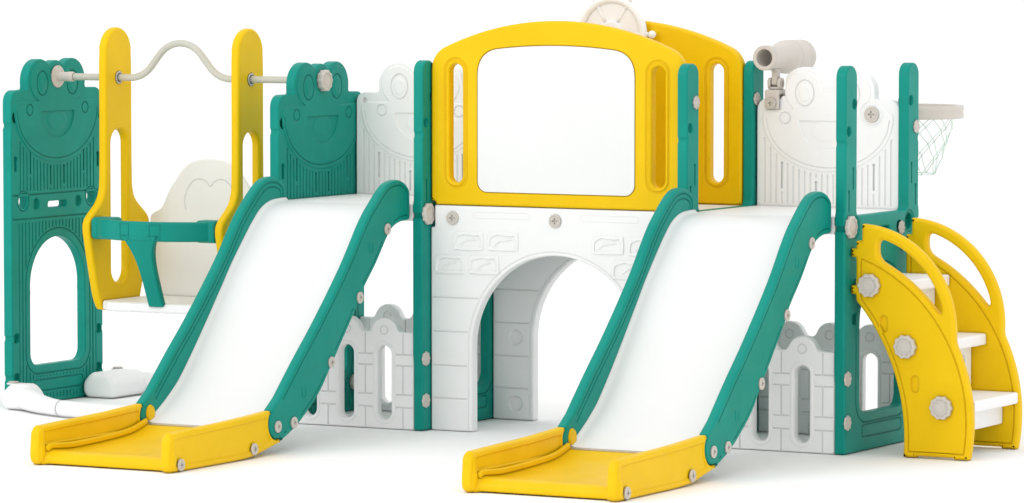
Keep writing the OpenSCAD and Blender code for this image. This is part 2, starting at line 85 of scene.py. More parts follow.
def circ(x, y, r, ry=None):
    if ry is None:
        return lambda u, v: np.hypot(u - x, v - y) - r

    def f(u, v):
        k = np.sqrt(((u - x) / r) ** 2 + ((v - y) / ry) ** 2) + 1e-9
        g = np.sqrt(((u - x) / r ** 2) ** 2 + ((v - y) / ry ** 2) ** 2) + 1e-9
        return k * (k - 1) / g
    return f


def cap2(x0, y0, x1, y1, r):
    dx, dy = x1 - x0, y1 - y0
    q = dx * dx + dy * dy

    def f(u, v):
        t = np.clip(((u - x0) * dx + (v - y0) * dy) / q, 0, 1)
        return np.hypot(u - x0 - dx * t, v - y0 - dy * t) - r
    return f


def line2(pts, r):
    return uni(*[cap2(*pts[i], *pts[i + 1], r) for i in range(len(pts) - 1)])


def poly(pts):
    P = np.array(pts, float)

    def f(u, v):
        u, v = np.broadcast_arrays(np.asarray(u, float), np.asarray(v, float))
        d = np.full(u.shape, 1e18)
        s = np.zeros(u.shape, bool)
        for i in range(len(P)):
            ax, ay = P[i - 1]
            bx, by = P[i]
            ex, ey = bx - ax, by - ay
            q = ex * ex + ey * ey
            if q < 1e-12:
                continue
            t = np.clip(((u - ax) * ex + (v - ay) * ey) / q, 0, 1)
            d = np.minimum(d, (u - ax - ex * t) ** 2 + (v - ay - ey * t) ** 2)
            if ay != by:
                s ^= ((ay > v) != (by > v)) & (u < ax + (v - ay) * ex / ey)
        return np.where(s, -1, 1) * np.sqrt(d)
    return f


def uni(*fs):
    """the union of outlines"""
    def f(u, v):
        o = fs[0](u, v)
        for g in fs[1:]:
            o = np.minimum(o, g(u, v))
        return o
    return f


def suni(k, *fs):
    """a union whose inner corners are rounded by about k"""
    def f(u, v):
        o = fs[0](u, v)
        for g in fs[1:]:
            b = g(u, v)
            h = np.clip(0.5 + 0.5 * (b - o) / k, 0, 1)
            o = b * (1 - h) + o * h - k * h * (1 - h)
        return o
    return f


def inter(*fs):
    def f(u, v):
        o = fs[0](u, v)
        for g in fs[1:]:
            o = np.maximum(o, g(u, v))
        return o
    return f


def inv(g):
    return lambda u, v: -g(u, v)


def sub(a, *bs):
    return inter(a, *[inv(b) for b in bs])


def grow(g, d):
    """an outline moved out by d"""
    return lambda u, v: g(u, v) - d


def ring(g, d, w):
    """a band of half-width w along g's line moved out by d"""
    return lambda u, v: np.abs(g(u, v) - d) - w


def flutes(x0, pitch, w, region):
    """upright grooves w wide inside a region"""
    def f(u, v):
        m = np.abs(np.mod(u - x0 + pitch / 2, pitch) - pitch / 2) - w / 2
        return np.maximum(m, region(u, v))
    return f


def spline(pts, n=8, closed=False):
    """Catmull-Rom through the points"""
    P = [np.array(p, float) for p in pts]
    m = len(P)
    out = []
    for i in range(m if closed else m - 1):
        a, b = P[i], P[(i + 1) % m]
        p = P[i - 1] if (i or closed) else 2 * a - b
        q = P[(i + 2) % m] if (closed or i + 2 < m) else 2 * b - a
        for k in range(n):
            t = k / n
            out.append(0.5 * (2 * a + (b - p) * t + (2 * p - 5 * a + 4 * b - q) * t * t
                              + (3 * a - p - 3 * b + q) * t ** 3))
    if not closed:
        out.append(P[-1])
    return np.array(out)


def arc_pts(cx, cy, r, a0, a1, n):
    a = np.radians(np.linspace(a0, a1, n))
    return np.stack([cx + r * np.cos(a), cy + r * np.sin(a)], 1)


# the sides of a grid cell that a line enters and leaves by, for each pattern of inside corners
_CASES = {1: "BL", 2: "RB", 3: "RL", 4: "TR", 6: "TB", 7: "TL", 8: "LT", 9: "BT", 11: "RT", 12: "LR",
          13: "BR", 14: "LB"}


def contours(f, bb, h=2.0, sigma=2.0, ds=1.5, tol=0.05):
    """closed smooth loops of f = 0 as (points, inward normals), the inside on the left"""
    xs = np.arange(bb[0] - 3 * h + 0.13, bb[2] + 4 * h, h)
    ys = np.arange(bb[1] - 3 * h + 0.17, bb[3] + 4 * h, h)
    F = f(*np.meshgrid(xs, ys))
    F = np.where(np.abs(F) < 1e-7, 1e-7, F)
    S = F < 0
    nx = len(xs)
    code = S[:-1, :-1] * 1 + S[:-1, 1:] * 2 + S[1:, 1:] * 4 + S[1:, :-1] * 8
    jj, ii = np.nonzero((code > 0) & (code < 15))
    nxt = {}
    big = 10 ** 8
    for j, i in zip(jj.tolist(), ii.tolist()):
        c = int(code[j, i])
        key = {"B": j * nx + i, "T": (j + 1) * nx + i, "L": big + j * nx + i, "R": big + j * nx + i + 1}
        if c == 5:
            segs = ("TL", "BR") if F[j:j + 2, i:i + 2].mean() < 0 else ("BL", "TR")
        elif c == 10:
            segs = ("RT", "LB") if F[j:j + 2, i:i + 2].mean() < 0 else ("RB", "LT")
        else:
            segs = (_CASES[c],)
        for s in segs:
            nxt[key[s[0]]] = key[s[1]]

    def pos(k):
        if k < big:
            j, i = divmod(k, nx)
            a, b = F[j, i], F[j, i + 1]
            return xs[i] + h * a / (a - b), ys[j]
        j, i = divmod(k - big, nx)
        a, b = F[j, i], F[j + 1, i]
        return xs[i], ys[j] + h * a / (a - b)

    loops = []
    seen = set()
    for start in list(nxt):
        if start in seen:
            continue
        k, pts = start, []
        while k not in seen:
            seen.add(k)
            pts.append(pos(k))
            k = nxt.get(k, start)
        if len(pts) < 4:
            continue
        P = np.array(pts)
        d = np.linalg.norm(np.roll(P, -1, 0) - P, axis=1)
        L = d.sum()
        if L < 8:
            continue
        n = max(16, int(L / ds))
        s = np.concatenate([[0], np.cumsum(d)])
        t = np.arange(n) * L / n
        Q = np.concatenate([P, P[:1]])
        z = np.interp(t, s, Q[:, 0]) + 1j * np.interp(t, s, Q[:, 1])
        w = np.fft.fftfreq(n, 1.0 / n)
        Z = np.fft.fft(z) * np.exp(-0.5 * (2 * np.pi * w * sigma / L) ** 2)
        z = np.fft.ifft(Z)
        T = np.fft.ifft(Z * 1j * w)
        T = T / (np.abs(T) + 1e-12)
        N = 1j * T
        keep = simplify(z, tol)
        loops.append((np.stack([z.real, z.imag], 1)[keep], np.stack([N.real, N.imag], 1)[keep]))
    return loops


def simplify(z, tol):
    """the points of a closed line that keep it within tol"""
    n = len(z)
    a = 0
    b = int(np.argmax(np.abs(z - z[0])))
    keep = {a, b}
    zz = np.concatenate([z, z[:1]])
    stack = [(a, b), (b, n)]
    while stack:
        i, j = stack.pop()
        if j - i < 2:
            continue
        p, q = zz[i], zz[j]
        e = q - p
        m = zz[i + 1:j] - p
        L = abs(e)
        d = np.abs((m * np.conj(e)).imag) / L if L > 1e-9 else np.abs(m)
        k = int(np.argmax(d))
        if d[k] > tol or (j - i) * 1.5 > 60:
            k = k if d[k] > tol else (j - i) // 2 - 1
            keep.add((i + 1 + k) % n)
            stack += [(i, i + 1 + k), (i + 1 + k, j)]
    return np.array(sorted(keep))


# ---------------------------------------------------------------- meshes

class Geo:
    """vertices with normals, and faces, in local mm"""

    def __init__(self, V=None, N=None, F=None):
        self.V = np.zeros((0, 3)) if V is None else np.asarray(V, float)
        self.N = np.zeros((0, 3)) if N is None else np.asarray(N, float)
        self.F = [] if F is None else list(F)

    def add(self, *gs):
        for g in gs:
            c = len(self.V)
            self.V = np.concatenate([self.V, g.V])
            self.N = np.concatenate([self.N, g.N])
            self.F += [tuple(i + c for i in f) for f in g.F]
        return self

    def moved(self, d):
        return Geo(self.V + np.array(d, float), self.N, self.F)

    def flipped(self, axis, at):
        V, N = self.V.copy(), self.N.copy()
        V[:, axis] = 2 * at - V[:, axis]
        N[:, axis] *= -1
        return Geo(V, N, [tuple(reversed(f)) for f in self.F])

    def turned(self, m, about=(0, 0, 0)):
        m = np.array(m, float)
        a = np.array(about, float)
        return Geo((self.V - a) @ m.T + a, self.N @ m.T, self.F)


def rot(axis, deg):
    c, s = math.cos(math.radians(deg)), math.sin(math.radians(deg))
    i, j = [(1, 2), (2, 0), (0, 1)][axis]
    m = np.eye(3)
    m[i, i] = m[j, j] = c
    m[i, j], m[j, i] = -s, s
    return m


def around(u, v, m):
    """a square of half-width m about a point"""
    return (u - m, v - m, u + m, v + m)


class Feat:
    """a relief in a plate's face: d mm deep, or high if negative, with a soft edge w wide"""

    def __init__(self, f, bb, d, w=3.0, h=2.0, sigma=1.0, sub=(), tol=0.09, seg=3):
        self.f, self.bb, self.w, self.h, self.sigma = f, bb, w, h, sigma
        self.d = d * (SHALLOW_GAIN if 1.3 <= d <= 2.7 else 1.0)
        self.sub, self.tol, self.seg = sub, tol, seg


def inside_faces(eo, fo, oe):
    """the triangles with an odd number of loops around them"""
    wall = {(min(e), max(e)) for e, o in zip(eo, oe) if o}
    at = {}
    for k, t in enumerate(fo):
        for i in range(3):
            a, b = t[i], t[(i + 1) % 3]
            at.setdefault((min(a, b), max(a, b)), []).append(k)
    side = {}
    stack = []
    for e, ks in at.items():
        if len(ks) == 1 and ks[0] not in side:
            side[ks[0]] = e in wall
            stack.append(ks[0])
    while stack:
        k = stack.pop()
        t = fo[k]
        for i in range(3):
            a, b = t[i], t[(i + 1) % 3]
            e = (min(a, b), max(a, b))
            for j in at[e]:
                if j not in side:
                    side[j] = side[k] != (e in wall)
                    stack.append(j)
    return [t for k, t in enumerate(fo) if side.get(k)]


def plate(f, bb, t0, t1, plane, r=(4.0, 4.0), front=(), back=(), h=2.0, sigma=2.5, seg=4, tol=0.07):
    """a plate of outline f from t0 to t1 with round edges; bb bounds the outline. The front reliefs are
    on the t1 face and the back ones on the t0 face."""
    V, N, F = [], [], []
    c = [0]

    def ringset(P2, T, Nn, Nt):
        n = len(P2)
        i0 = c[0]
        V.append(np.column_stack([P2, np.full(n, T)]))
        N.append(np.column_stack([Nn, np.full(n, Nt)]))
        c[0] += n
        return np.arange(i0, i0 + n)

    def strip(a, b, flip=False):
        for k in range(len(a)):
            k2 = (k + 1) % len(a)
            q = (a[k], a[k2], b[k2], b[k])
            F.append(tuple(int(x) for x in (reversed(q) if flip else q)))

    def cap(rings, sgn):
        pts, idx, ed = [], [], []
        allV = np.concatenate(V)
        for rg in rings:
            s = len(pts)
            n = len(rg)
            for k, q in enumerate(rg):
                pts.append((allV[q, 0], allV[q, 1]))
                idx.append(int(q))
                ed.append((s + k, s + (k + 1) % n))
        vo, eo, fo, ov, oe, _ = delaunay_2d_cdt([Vector(p) for p in pts], ed, [], 0, 1e-4)
        T = allV[rings[0][0], 2]
        m = []
        extra = []
        for k, o in enumerate(ov):
            if o:
                m.append(idx[o[0]])
            else:
                m.append(c[0] + len(extra))
                extra.append((vo[k][0], vo[k][1], T))
        if extra:
            V.append(np.array(extra, float))
            N.append(np.tile([0, 0, float(sgn)], (len(extra), 1)))
            c[0] += len(extra)
        for t in inside_faces(eo, fo, oe):
            q = [m[k] for k in t]
            if len(set(q)) < 3:
                continue
            F.append(tuple(q if sgn > 0 else reversed(q)))

    def relief(feats, level, sgn, rings):
        rings = list(rings)
        for ft in feats:
            floor = []
            L2 = level - sgn * ft.d
            for P, n in contours(ft.f, ft.bb, ft.h, ft.sigma, tol=ft.tol):
                last = None
                for k in range(ft.seg + 1):
                    s = k / ft.seg
                    S = s * s * (3 - 2 * s)
                    sl = ft.d / ft.w * 6 * s * (1 - s)
                    q = math.hypot(sl, 1)
                    a = ringset(P + n * (ft.w * (s - 0.5)), level + (L2 - level) * S, n * (sl / q), sgn / q)
                    if last is None:
                        rings.append(a)
                    else:
                        strip(last, a, sgn < 0)
                    last = a
                if last is not None:
                    floor.append(last)
            if floor:
                relief(ft.sub, L2, sgn, floor)
        cap(rings, sgn)

    base = contours(f, bb, h, sigma, tol=tol)
    top, bot = [], []
    for P, n in base:
        last = None
        for side, rr in ((0, r[0]), (1, r[1])):
            for k in range(seg + 1):
                ph = math.pi / 2 * (k / seg if side == 0 else 1 - k / seg)
                T = t0 + rr * (1 - math.cos(ph)) if side == 0 else t1 - rr * (1 - math.cos(ph))
                sg = -1 if side == 0 else 1
                a = ringset(P + n * (rr * (1 - math.sin(ph))), T, -n * math.sin(ph), sg * math.cos(ph))
                if last is None:
                    bot.append(a)
                else:
                    strip(last, a)
                last = a
        top.append(last)
    relief(front, t1, 1, top)
    relief(back, t0, -1, bot)
    V, N = np.concatenate(V), np.concatenate(N)
    if plane == "x":
        return Geo(V[:, [2, 0, 1]], N[:, [2, 0, 1]], F)
    if plane == "y":
        return Geo(V[:, [0, 2, 1]], N[:, [0, 2, 1]], [tuple(reversed(q)) for q in F])
    return Geo(V, N, F)


def grid(P, close_u=False, close_v=False, caps=False, flip=False):
    """a surface through P[i][j]; j runs round the section, i along the path"""
    P = np.asarray(P, float)
    n, m = P.shape[:2]
    F = []
    for i in range(n if close_u else n - 1):
        for j in range(m if close_v else m - 1):
            q = (i * m + j, ((i + 1) % n) * m + j, ((i + 1) % n) * m + (j + 1) % m, i * m + (j + 1) % m)
            F.append(tuple(reversed(q)) if flip else q)
    V = P.reshape(-1, 3)
    if caps:
        a, b = tuple(range(m)), tuple((n - 1) * m + j for j in range(m))
        F.append(tuple(reversed(a)) if flip else a)
        F.append(b if flip else tuple(reversed(b)))
    return Geo(V, soft_normals(V, F), F)


def soft_normals(V, F):
    N = np.zeros_like(V)
    for f in F:
        p = V[list(f)]
        k = np.cross(p - p[0], np.roll(p, -1, 0) - p[0]).sum(0)
        for i in f:
            N[i] += k
    L = np.linalg.norm(N, axis=1, keepdims=True)
    return N / np.where(L < 1e-12, 1, L)


def frames(path, up=(0, 0, 1)):
    P = np.asarray(path, float)
    T = np.gradient(P, axis=0)
    T /= np.linalg.norm(T, axis=1, keepdims=True)
    up = np.array(up, float)
    A = np.cross(T, up)
    A /= np.linalg.norm(A, axis=1, keepdims=True)
    return P, T, A, np.cross(A, T)


def sweep(path, section, up=(0, 0, 1), ends=0.0):
    """section points (a, b) or a function of 0..1 giving them; ends rounds the tube's ends"""
    P, T, A, B = frames(path, up)
    n = len(P)
    rows = []
    for i in range(n):
        S = section(i / (n - 1)) if callable(section) else np.asarray(section, float)
        rows.append(P[i] + S[:, :1] * A[i] + S[:, 1:] * B[i])
    if ends:
        for e, sg in ((0, -1), (-1, 1)):
            S = section(0.0 if e == 0 else 1.0) if callable(section) else np.asarray(section, float)
            extra = []
            for k in range(1, 5):
                ph = math.pi / 2 * k / 4
                c = max(math.cos(ph), 0.02)
                extra.append(P[e] + T[e] * sg * ends * math.sin(ph) + S[:, :1] * A[e] * c + S[:,
                                                                                              1:] * B[e] * c)
            rows = (list(reversed(extra)) + rows) if e == 0 else (rows + extra)
    return grid(rows, close_v=True, caps=True)


def circle_section(r, n=28, rb=None):
    a = np.linspace(0, 2 * np.pi, n, endpoint=False)
    return np.stack([r * np.cos(a), (rb or r) * np.sin(a)], 1)


def round_rect(w, hgt, r, n=5):
    out = []
    for cx, cy, a0 in ((w / 2 - r, hgt / 2 - r, 0), (-w / 2 + r, hgt / 2 - r, 90),
                       (-w / 2 + r, -hgt / 2 + r, 180), (w / 2 - r, -hgt / 2 + r, 270)):
        out.append(arc_pts(cx, cy, r, a0, a0 + 90, n))
    return np.concatenate(out)


def lathe(profile, centre, axis, n=64):
    """profile points (r, t) turned round the axis through centre"""
    rows = []
    for a in np.linspace(0, 2 * np.pi, n, endpoint=False):
        c, s = math.cos(a), math.sin(a)
        q = []
        for r, t in profile:
            p = [r * c, r * s, t]
            q.append([p[2], p[0], p[1]] if axis == "x" else [p[1], p[2], p[0]] if axis == "y" else p)
        rows.append(q)
    P = np.array(rows) + np.array(centre, float)
    return grid(P, close_u=True, close_v=True)


def orient(g):
    """turns the faces outward by the sign of the volume"""
    vol = 0.0
    for f in g.F:
        p = g.V[list(f)]
        for k in range(1, len(f) - 1):
            vol += np.dot(p[0], np.cross(p[k], p[k + 1]))
    if vol < 0:
        return Geo(g.V, -g.N, [tuple(reversed(f)) for f in g.F])
    return g


def emit(name, geo, paint, nodes, body="frame"):
    """makes one piece, which rides on a body and stands for the CAD nodes"""
    mat, slot = paint
    me = bpy.data.meshes.new(name)
    V = (geo.V + [SX, SY, 0]) / 1000.0
    me.from_pydata(V.tolist(), [], geo.F, shade_flat=False)
    L = np.linalg.norm(geo.N, axis=1, keepdims=True)
    Nn = np.where(L > 1e-9, geo.N / np.where(L < 1e-9, 1, L), [0, 0, 1.0])
    me.update()
    me.normals_split_custom_set_from_vertices(Nn.tolist())
    me.materials.append(mat)
    ob = bpy.data.objects.new(name, me)
    bpy.context.scene.collection.objects.link(ob)
    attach(ob, body)
    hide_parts(*nodes)
    return ob


# ---------------------------------------------------------------- materials

def lin(r, g, b):
    """a linear colour from 0..255 display values"""
    return tuple(((c / 255 + 0.055) / 1.055) ** 2.4 if c > 10 else c / 255 / 12.92 for c in (r, g,
                                                                                             b)) + (1.0,)


def plastic(name, colour, rough=0.42, tint=0.05, grain=0.18, wave=0.10, coat=0.0, spec=0.5, sss=0.0,
            grain_scale=900.0, crease_shade=0.45):
    """moulded plastic: fine spark-eroded grain, slow thickness waves, faint flow mottling, rubbed spots, and
    painted shade that darkens the colour in grooves and crevices by ambient occlusion
    """
    m = bpy.data.materials.new(name)
    m.use_nodes = True
    nt = m.node_tree
    nd, ln = nt.nodes, nt.links
    b = nd["Principled BSDF"]
    tc = nd.new("ShaderNodeTexCoord")
    pos = tc.outputs["Object"]

    def noise(scale, detail, rough_n=0.5, warp=0.0):
        n = nd.new("ShaderNodeTexNoise")
        n.inputs["Scale"].default_value = scale
        n.inputs["Detail"].default_value = detail
        n.inputs["Roughness"].default_value = rough_n
        n.inputs["Distortion"].default_value = warp
        ln.new(pos, n.inputs["Vector"])
        return n.outputs["Fac"]

    def span(src, a, b2, lo, hi):
        r = nd.new("ShaderNodeMapRange")
        for k, v in (("From Min", a), ("From Max", b2), ("To Min", lo), ("To Max", hi)):
            r.inputs[k].default_value = v
        ln.new(src, r.inputs["Value"])
        return r.outputs["Result"]

    mix = nd.new("ShaderNodeMix")
    mix.data_type = "RGBA"
    dark = tuple(c * (1 - tint * 2.2) for c in colour[:3]) + (1.0,)
    light = tuple(min(1.0, c * (1 + tint) + 0.004) for c in colour[:3]) + (1.0,)
    mix.inputs[6].default_value = dark
    mix.inputs[7].default_value = light
    ln.new(span(noise(5.0, 4.0, 0.55, 0.6), 0.3, 0.7, 0.15, 0.95), mix.inputs[0])
    speck = nd.new("ShaderNodeMix")
    speck.data_type = "RGBA"
    speck.blend_type = "MULTIPLY"
    speck.inputs[7].default_value = (1 - tint, 1 - tint, 1 - tint, 1.0)
    ln.new(span(noise(140.0, 3.0, 0.6), 0.52, 0.75, 0.0, 0.7), speck.inputs[0])
    ln.new(mix.outputs[2], speck.inputs[6])
    # painted shade: an ambient-occlusion node multiplies the base colour darker in grooves and crevices
    ao = nd.new("ShaderNodeAmbientOcclusion")
    ao.samples = 8
    ao.inputs["Distance"].default_value = 0.009
    ln.new(speck.outputs[2], ao.inputs["Color"])
    crevice_shade_mix = nd.new("ShaderNodeMix")
    crevice_shade_mix.data_type = "RGBA"
    crevice_shade_mix.blend_type = "MULTIPLY"
    crevice_shade_mix.inputs[7].default_value = (crease_shade, crease_shade, crease_shade, 1.0)
    ln.new(span(ao.outputs["AO"], 0.35, 0.93, 1.0, 0.0), crevice_shade_mix.inputs[0])
    ln.new(speck.outputs[2], crevice_shade_mix.inputs[6])
    ln.new(crevice_shade_mix.outputs[2], b.inputs["Base Color"])
    ln.new(span(noise(22.0, 5.0, 0.6, 0.3), 0.3, 0.7, rough - 0.06, rough + 0.08), b.inputs["Roughness"])
    b.inputs["Specular IOR Level"].default_value = spec
    b.inputs["Coat Weight"].default_value = coat
    b.inputs["Coat Roughness"].default_value = 0.22
    if sss:
        b.inputs["Subsurface Weight"].default_value = sss
        b.inputs["Subsurface Scale"].default_value = 0.004
    fine = nd.new("ShaderNodeBump")
    fine.inputs["Strength"].default_value = grain
    fine.inputs["Distance"].default_value = 0.00025
    ln.new(noise(grain_scale, 2.0, 0.6), fine.inputs["Height"])
    slow = nd.new("ShaderNodeBump")
    slow.inputs["Strength"].default_value = wave
    slow.inputs["Distance"].default_value = 0.006
    ln.new(noise(11.0, 2.0, 0.4), slow.inputs["Height"])
    ln.new(slow.outputs["Normal"], fine.inputs["Normal"])
    ln.new(fine.outputs["Normal"], b.inputs["Normal"])
    return m


# the crease factors below set how dark the painted shade in each plastic's grooves and crevices gets
GREEN = plastic("green_plastic", lin(2, 142, 128), rough=0.40, tint=0.05, spec=0.16), "green"
YELLOW = plastic("yellow_plastic", lin(238, 194, 2), rough=0.40, tint=0.03, crease_shade=0.62, spec=0.16), "yellow"
WHITE = plastic("white_plastic", lin(243, 243, 243), rough=0.44, tint=0.01, crease_shade=0.70, spec=0.3), "white"
BED = plastic("slide_bed_white", lin(234, 235, 235), rough=0.42, tint=0.006, grain=0.03, wave=0.015,
              spec=0.3), "white"
BOARD = plastic("board_gloss", lin(235, 236, 236), rough=0.20, tint=0.006, crease_shade=0.8, grain=0.02, wave=0.02,
                coat=0.2, spec=0.3), "board"
SAND = plastic("sand_plastic", lin(208, 201, 193), rough=0.44, tint=0.03, spec=0.35), "sand"
TUBE = plastic("bar_coated", lin(196, 195, 184), rough=0.36, tint=0.03, grain=0.08), "bar"
CORD = plastic("net_cord", lin(214, 234, 222), rough=0.75, tint=0.08, grain=0.6, wave=0.0,
               grain_scale=2500.0), "net"

# ---------------------------------------------------------------- green panels


def frog_field(c, w, es, er, top, shoulder, sr):
    """outline of a frog-headed plate, centred on c"""
    body = box2(c - w / 2, -60, c + w / 2, shoulder, sr)
    ears = uni(circ(c - es, top - er, er), circ(c + es, top - er, er))
    fill = box2(c - es - er * 0.55, 880, c + es + er * 0.55, top - er * 0.72, 6)
    return suni(14, body, ears, fill)


def head_feats(c, es, er, top, rx, cz, rz):
    """face: raised head, eyes, cheeks, mouth"""
    head = suni(10, inter(circ(c, cz, rx, rz), lambda u, v: v - cz - 20),
                inter(box2(c - rx, cz - 20, c + rx, cz + 28, 26), circ(c, cz, rx + 1, rz + 30)),
                circ(c - es, top - er, er - 13), circ(c + es, top - er, er - 13),
                box2(c - es, cz, c + es, top - er - 8, 20))
    k = er / 71.0
    subs = []
    inner = inter(ring(head, -11, 1.5), lambda u, v: v - cz - 2)
    subs.append(Feat(inner, (c - rx, cz - rz, c + rx, cz + 10), 1.4, 2.2, sigma=0.8))
    for s in (-1, 1):
        ex = c + s * es * 0.93
        ez = top - er - 5
        eye = circ(ex, ez, 30 * k, 38 * k)
        subs.append(Feat(ring(eye, 0, 1.7), (ex - 45, ez - 50, ex + 45, ez + 50), 1.8, 2.4, sigma=0.7))
        subs.append(Feat(grow(eye, -13 * k), (ex - 30, ez - 40, ex + 30, ez + 40), -2.2, 6, sigma=1.0))
        cheek = c + s * rx * 0.66
        spot = ring(circ(cheek, cz + 3, 17), 0, 1.6)
        subs.append(Feat(spot, (cheek - 25, cz - 25, cheek + 25, cz + 30), 1.7, 2.2, sigma=0.7))
    mz = cz - 4
    mouth = inter(circ(c, mz, 92, 84), lambda u, v: v - mz)
    tongue = Feat(circ(c, mz - 30, 52, 30), (c - 60, mz - 65, c + 60, mz + 5), -1.6, 12, sigma=1.5)
    subs.append(Feat(mouth, (c - 100, mz - 95, c + 100, mz + 5), 2.6, 3.4, sigma=2.2, sub=[tongue]))
    return Feat(head, (c - rx - 5, cz - rz - 5, c + rx + 5, top), -3.0, 4.0, sigma=2.0, sub=subs), head


def key_slot(u, z0, z1, w=2.7):
    """a narrow upright slot with a round top"""
    return uni(cap2(u, z0, u, z1, w), circ(u, z1, w + 1.8))


SILL = box2(MID - 136, 40, MID + 136, 75, 12)


def edge_nicks(depth, heights):
    """small cuts in both upright edges of a green panel"""
    left = [box2(-8, z - 7, depth, z + 7, 2) for z in heights]
    return left + [box2(PW - depth, z - 7, PW + 8, z + 7, 2) for z in heights]


def key_slots(c):
    """the four upright key slots under the face"""
    far = [key_slot(c + s * 148.0, 728, 800) for s in (-1, 1)]
    return uni(*far, *[key_slot(c + s * 37.0, 690, 745) for s in (-1, 1)])


def panel_common(dz):
    """window, holes and reliefs of every green panel; the window is moved up by dz"""
    win = uni(circ(MID, 523 - 151 + dz, 151), box2(MID - 151, 122 + dz, MID + 151, 380 + dz, 40))
    holes = uni(circ(65, 642, 23), circ(PW - 65, 642, 23), box2(MID - 51, 616, MID + 51, 636, 9))
    feats = [Feat(ring(win, 27, 1.8), (60, 60 + dz, 446, 560 + dz), 2.0, 3.0, sigma=0.8)]
    for u in (65, PW - 65):
        feats.append(Feat(ring(circ(u, 642, 23), 8, 1.6), (u - 45, 600, u + 45, 690), 1.6, 2.2, sigma=0.7))
    for u in (137, PW - 137):
        feats.append(Feat(circ(u, 630, 17), (u - 20, 600, u + 20, 660), 11, 5, sigma=1.0))
    for z in (90, 215):
        for u in (25, PW - 25):
            feats.append(Feat(circ(u, z, 15.5), around(u, z, 20), 12, 4, sigma=1.0))
    feats.append(Feat(ring(SILL, 0, 1.7), (100, 25, 410, 90), 1.8, 2.6, sigma=0.8))
    return win, holes, feats


def frog_panel(x):
    """a tall end panel with the animal head, its outer face at x"""
    win, holes, feats = panel_common(0)
    body = frog_field(MID, PW, 89, 71, 1085, 990, 38)
    body = uni(body, box2(0, 0, PW, 300, 8))
    body = inter(suni(9, body, circ(MID, 1026, 54)), box2(-5, 0, PW + 5, 1200))
    out = sub(body, win, holes, circ(MID, 1028, 11.6), *edge_nicks(5, (880, 215, 90)))
    hf, head = head_feats(MID, 89, 71, 1085, 232, 924, 164)
    slots = key_slots(MID)
    side = [key_slot(s, 742, 775, 7) for s in (24, PW - 24)]
    region = inter(box2(40, 672, PW - 40, 905, 2), lambda u, v: 10 - head(u, v), inv(grow(slots, 9)))
    feats.append(Feat(flutes(MID, FLUTE_PITCH, FLUTE_W, region), (30, 660, PW - 30, 915), 1.9, 2.4,
                      sigma=0.8))
    feats.append(Feat(slots, (80, 680, PW - 80, 815), 6, 1.8, h=1.5, sigma=0.6))
    feats.append(Feat(uni(*side), (10, 725, PW - 10, 800), 10, 2.0, sigma=0.8))
    for u in (26, PW - 26):
        feats.append(Feat(circ(u, 905, 17), (u - 22, 880, u + 22, 930), 13, 5, sigma=1.0))
    for z in (586, 661):
        feats.append(Feat(cap2(9, z, PW - 9, z, 1.9), (5, z - 5, PW - 5, z + 5), 1.9, 2.4, sigma=0.6))
    low = inter(box2(40, 12, PW - 40, 575, 2), lambda u, v: 34 - win(u, v), inv(grow(SILL, 9)))
    feats.append(Feat(flutes(MID + FLUTE_PITCH / 2, FLUTE_PITCH, FLUTE_W, low), (30, 5, PW - 30, 580), 1.9,
                      2.4, sigma=0.8))
    feats.append(hf)
    return plate(out, (-2, -2, PW + 2, 1090), x, x + PT, "x", r=(5, 5), front=feats, back=feats, sigma=2.6)


def post_panel(x):
    """a panel with two posts above the deck, its outer face at x"""
    win, holes, feats = panel_common(-13)
    body = suni(20, box2(0, -60, PW, DECK, 6), box2(0, 200, PD, 1100, 35), box2(PW - PD, 200, PW, 1100, 35))
    body = inter(body, box2(-5, 0, PW + 5, 1200, 8))
    out = sub(body, win, holes, *edge_nicks(4, (880, 640)))
    dimples = [(PD - 19, 991, 14.5), (21, 915, 13.5), (64, 382, 17)]
    for a, z, r in dimples:
        for u in (a, PW - a):
            feats.append(Feat(circ(u, z, r), around(u, z, 20), 11, 4.5, sigma=1.0))
    for a, z in ((51, 782), (23, 719)):
        for u in (a, PW - a):
            feats.append(Feat(key_slot(u, z - 30, z + 26), (u - 9, z - 40, u + 9, z + 40), 6, 1.8, h=1.5,
                              sigma=0.6))
    return plate(out, (-2, -2, PW + 2, 1105), x, x + PT, "x", r=(6, 6), front=feats, back=feats, sigma=2.8)


for make, places in ((frog_panel, (("a", AX), ("b", BX))), (post_panel, (("c", 0), ("e", EX), ("d", DX)))):
    panel = make(0)
    for letter, x in places:
        emit("green_panel_%s" % letter, panel.moved((x, 0, 0)), GREEN, ["panel_%s" % letter])

# ---------------------------------------------------------------- decks and white backs


def deck(x0, x1, y0, y1):
    """a floor plate with raised grip strips and two key holes at its back edge"""
    f = box2(x0, y0, x1, y1, 4)
    cx = (x0 + x1) / 2
    fe = []
    for u in (x0 + (x1 - x0) * 0.22, x0 + (x1 - x0) * 0.78):
        key = cap2(u - 9, y1 - 14, u + 9, y1 - 14, 4)
        fe.append(Feat(key, (u - 20, y1 - 22, u + 20, y1 - 5), 8, 2, h=1.5, sigma=0.6))
    n, pitch = int((x1 - x0 - 60) // 26), 26
    us = [cx + (i - (n - 1) / 2) * pitch for i in range(n)]
    pads = uni(*[cap2(u, y0 + 45, u, y1 - 45, 5) for u in us])
    fe.append(Feat(pads, (x0 + 10, y0 + 30, x1 - 10, y1 - 30), -0.9, 3, h=2.5, sigma=1.0))
    rib = ring(box2(x0 + 25, y0 + 25, x1 - 25, y1 - 25, 12), 0, 3)
    bk = [Feat(rib, (x0 + 10, y0 + 10, x1 - 10, y1 - 10), 3, 4, h=2.5, sigma=1.2)]
    return plate(f, (x0, y0, x1, y1), DECK - 50, DECK - 0.9, "z", r=(4, 3.5), front=fe, back=bk, h=3,
                 sigma=2.0)


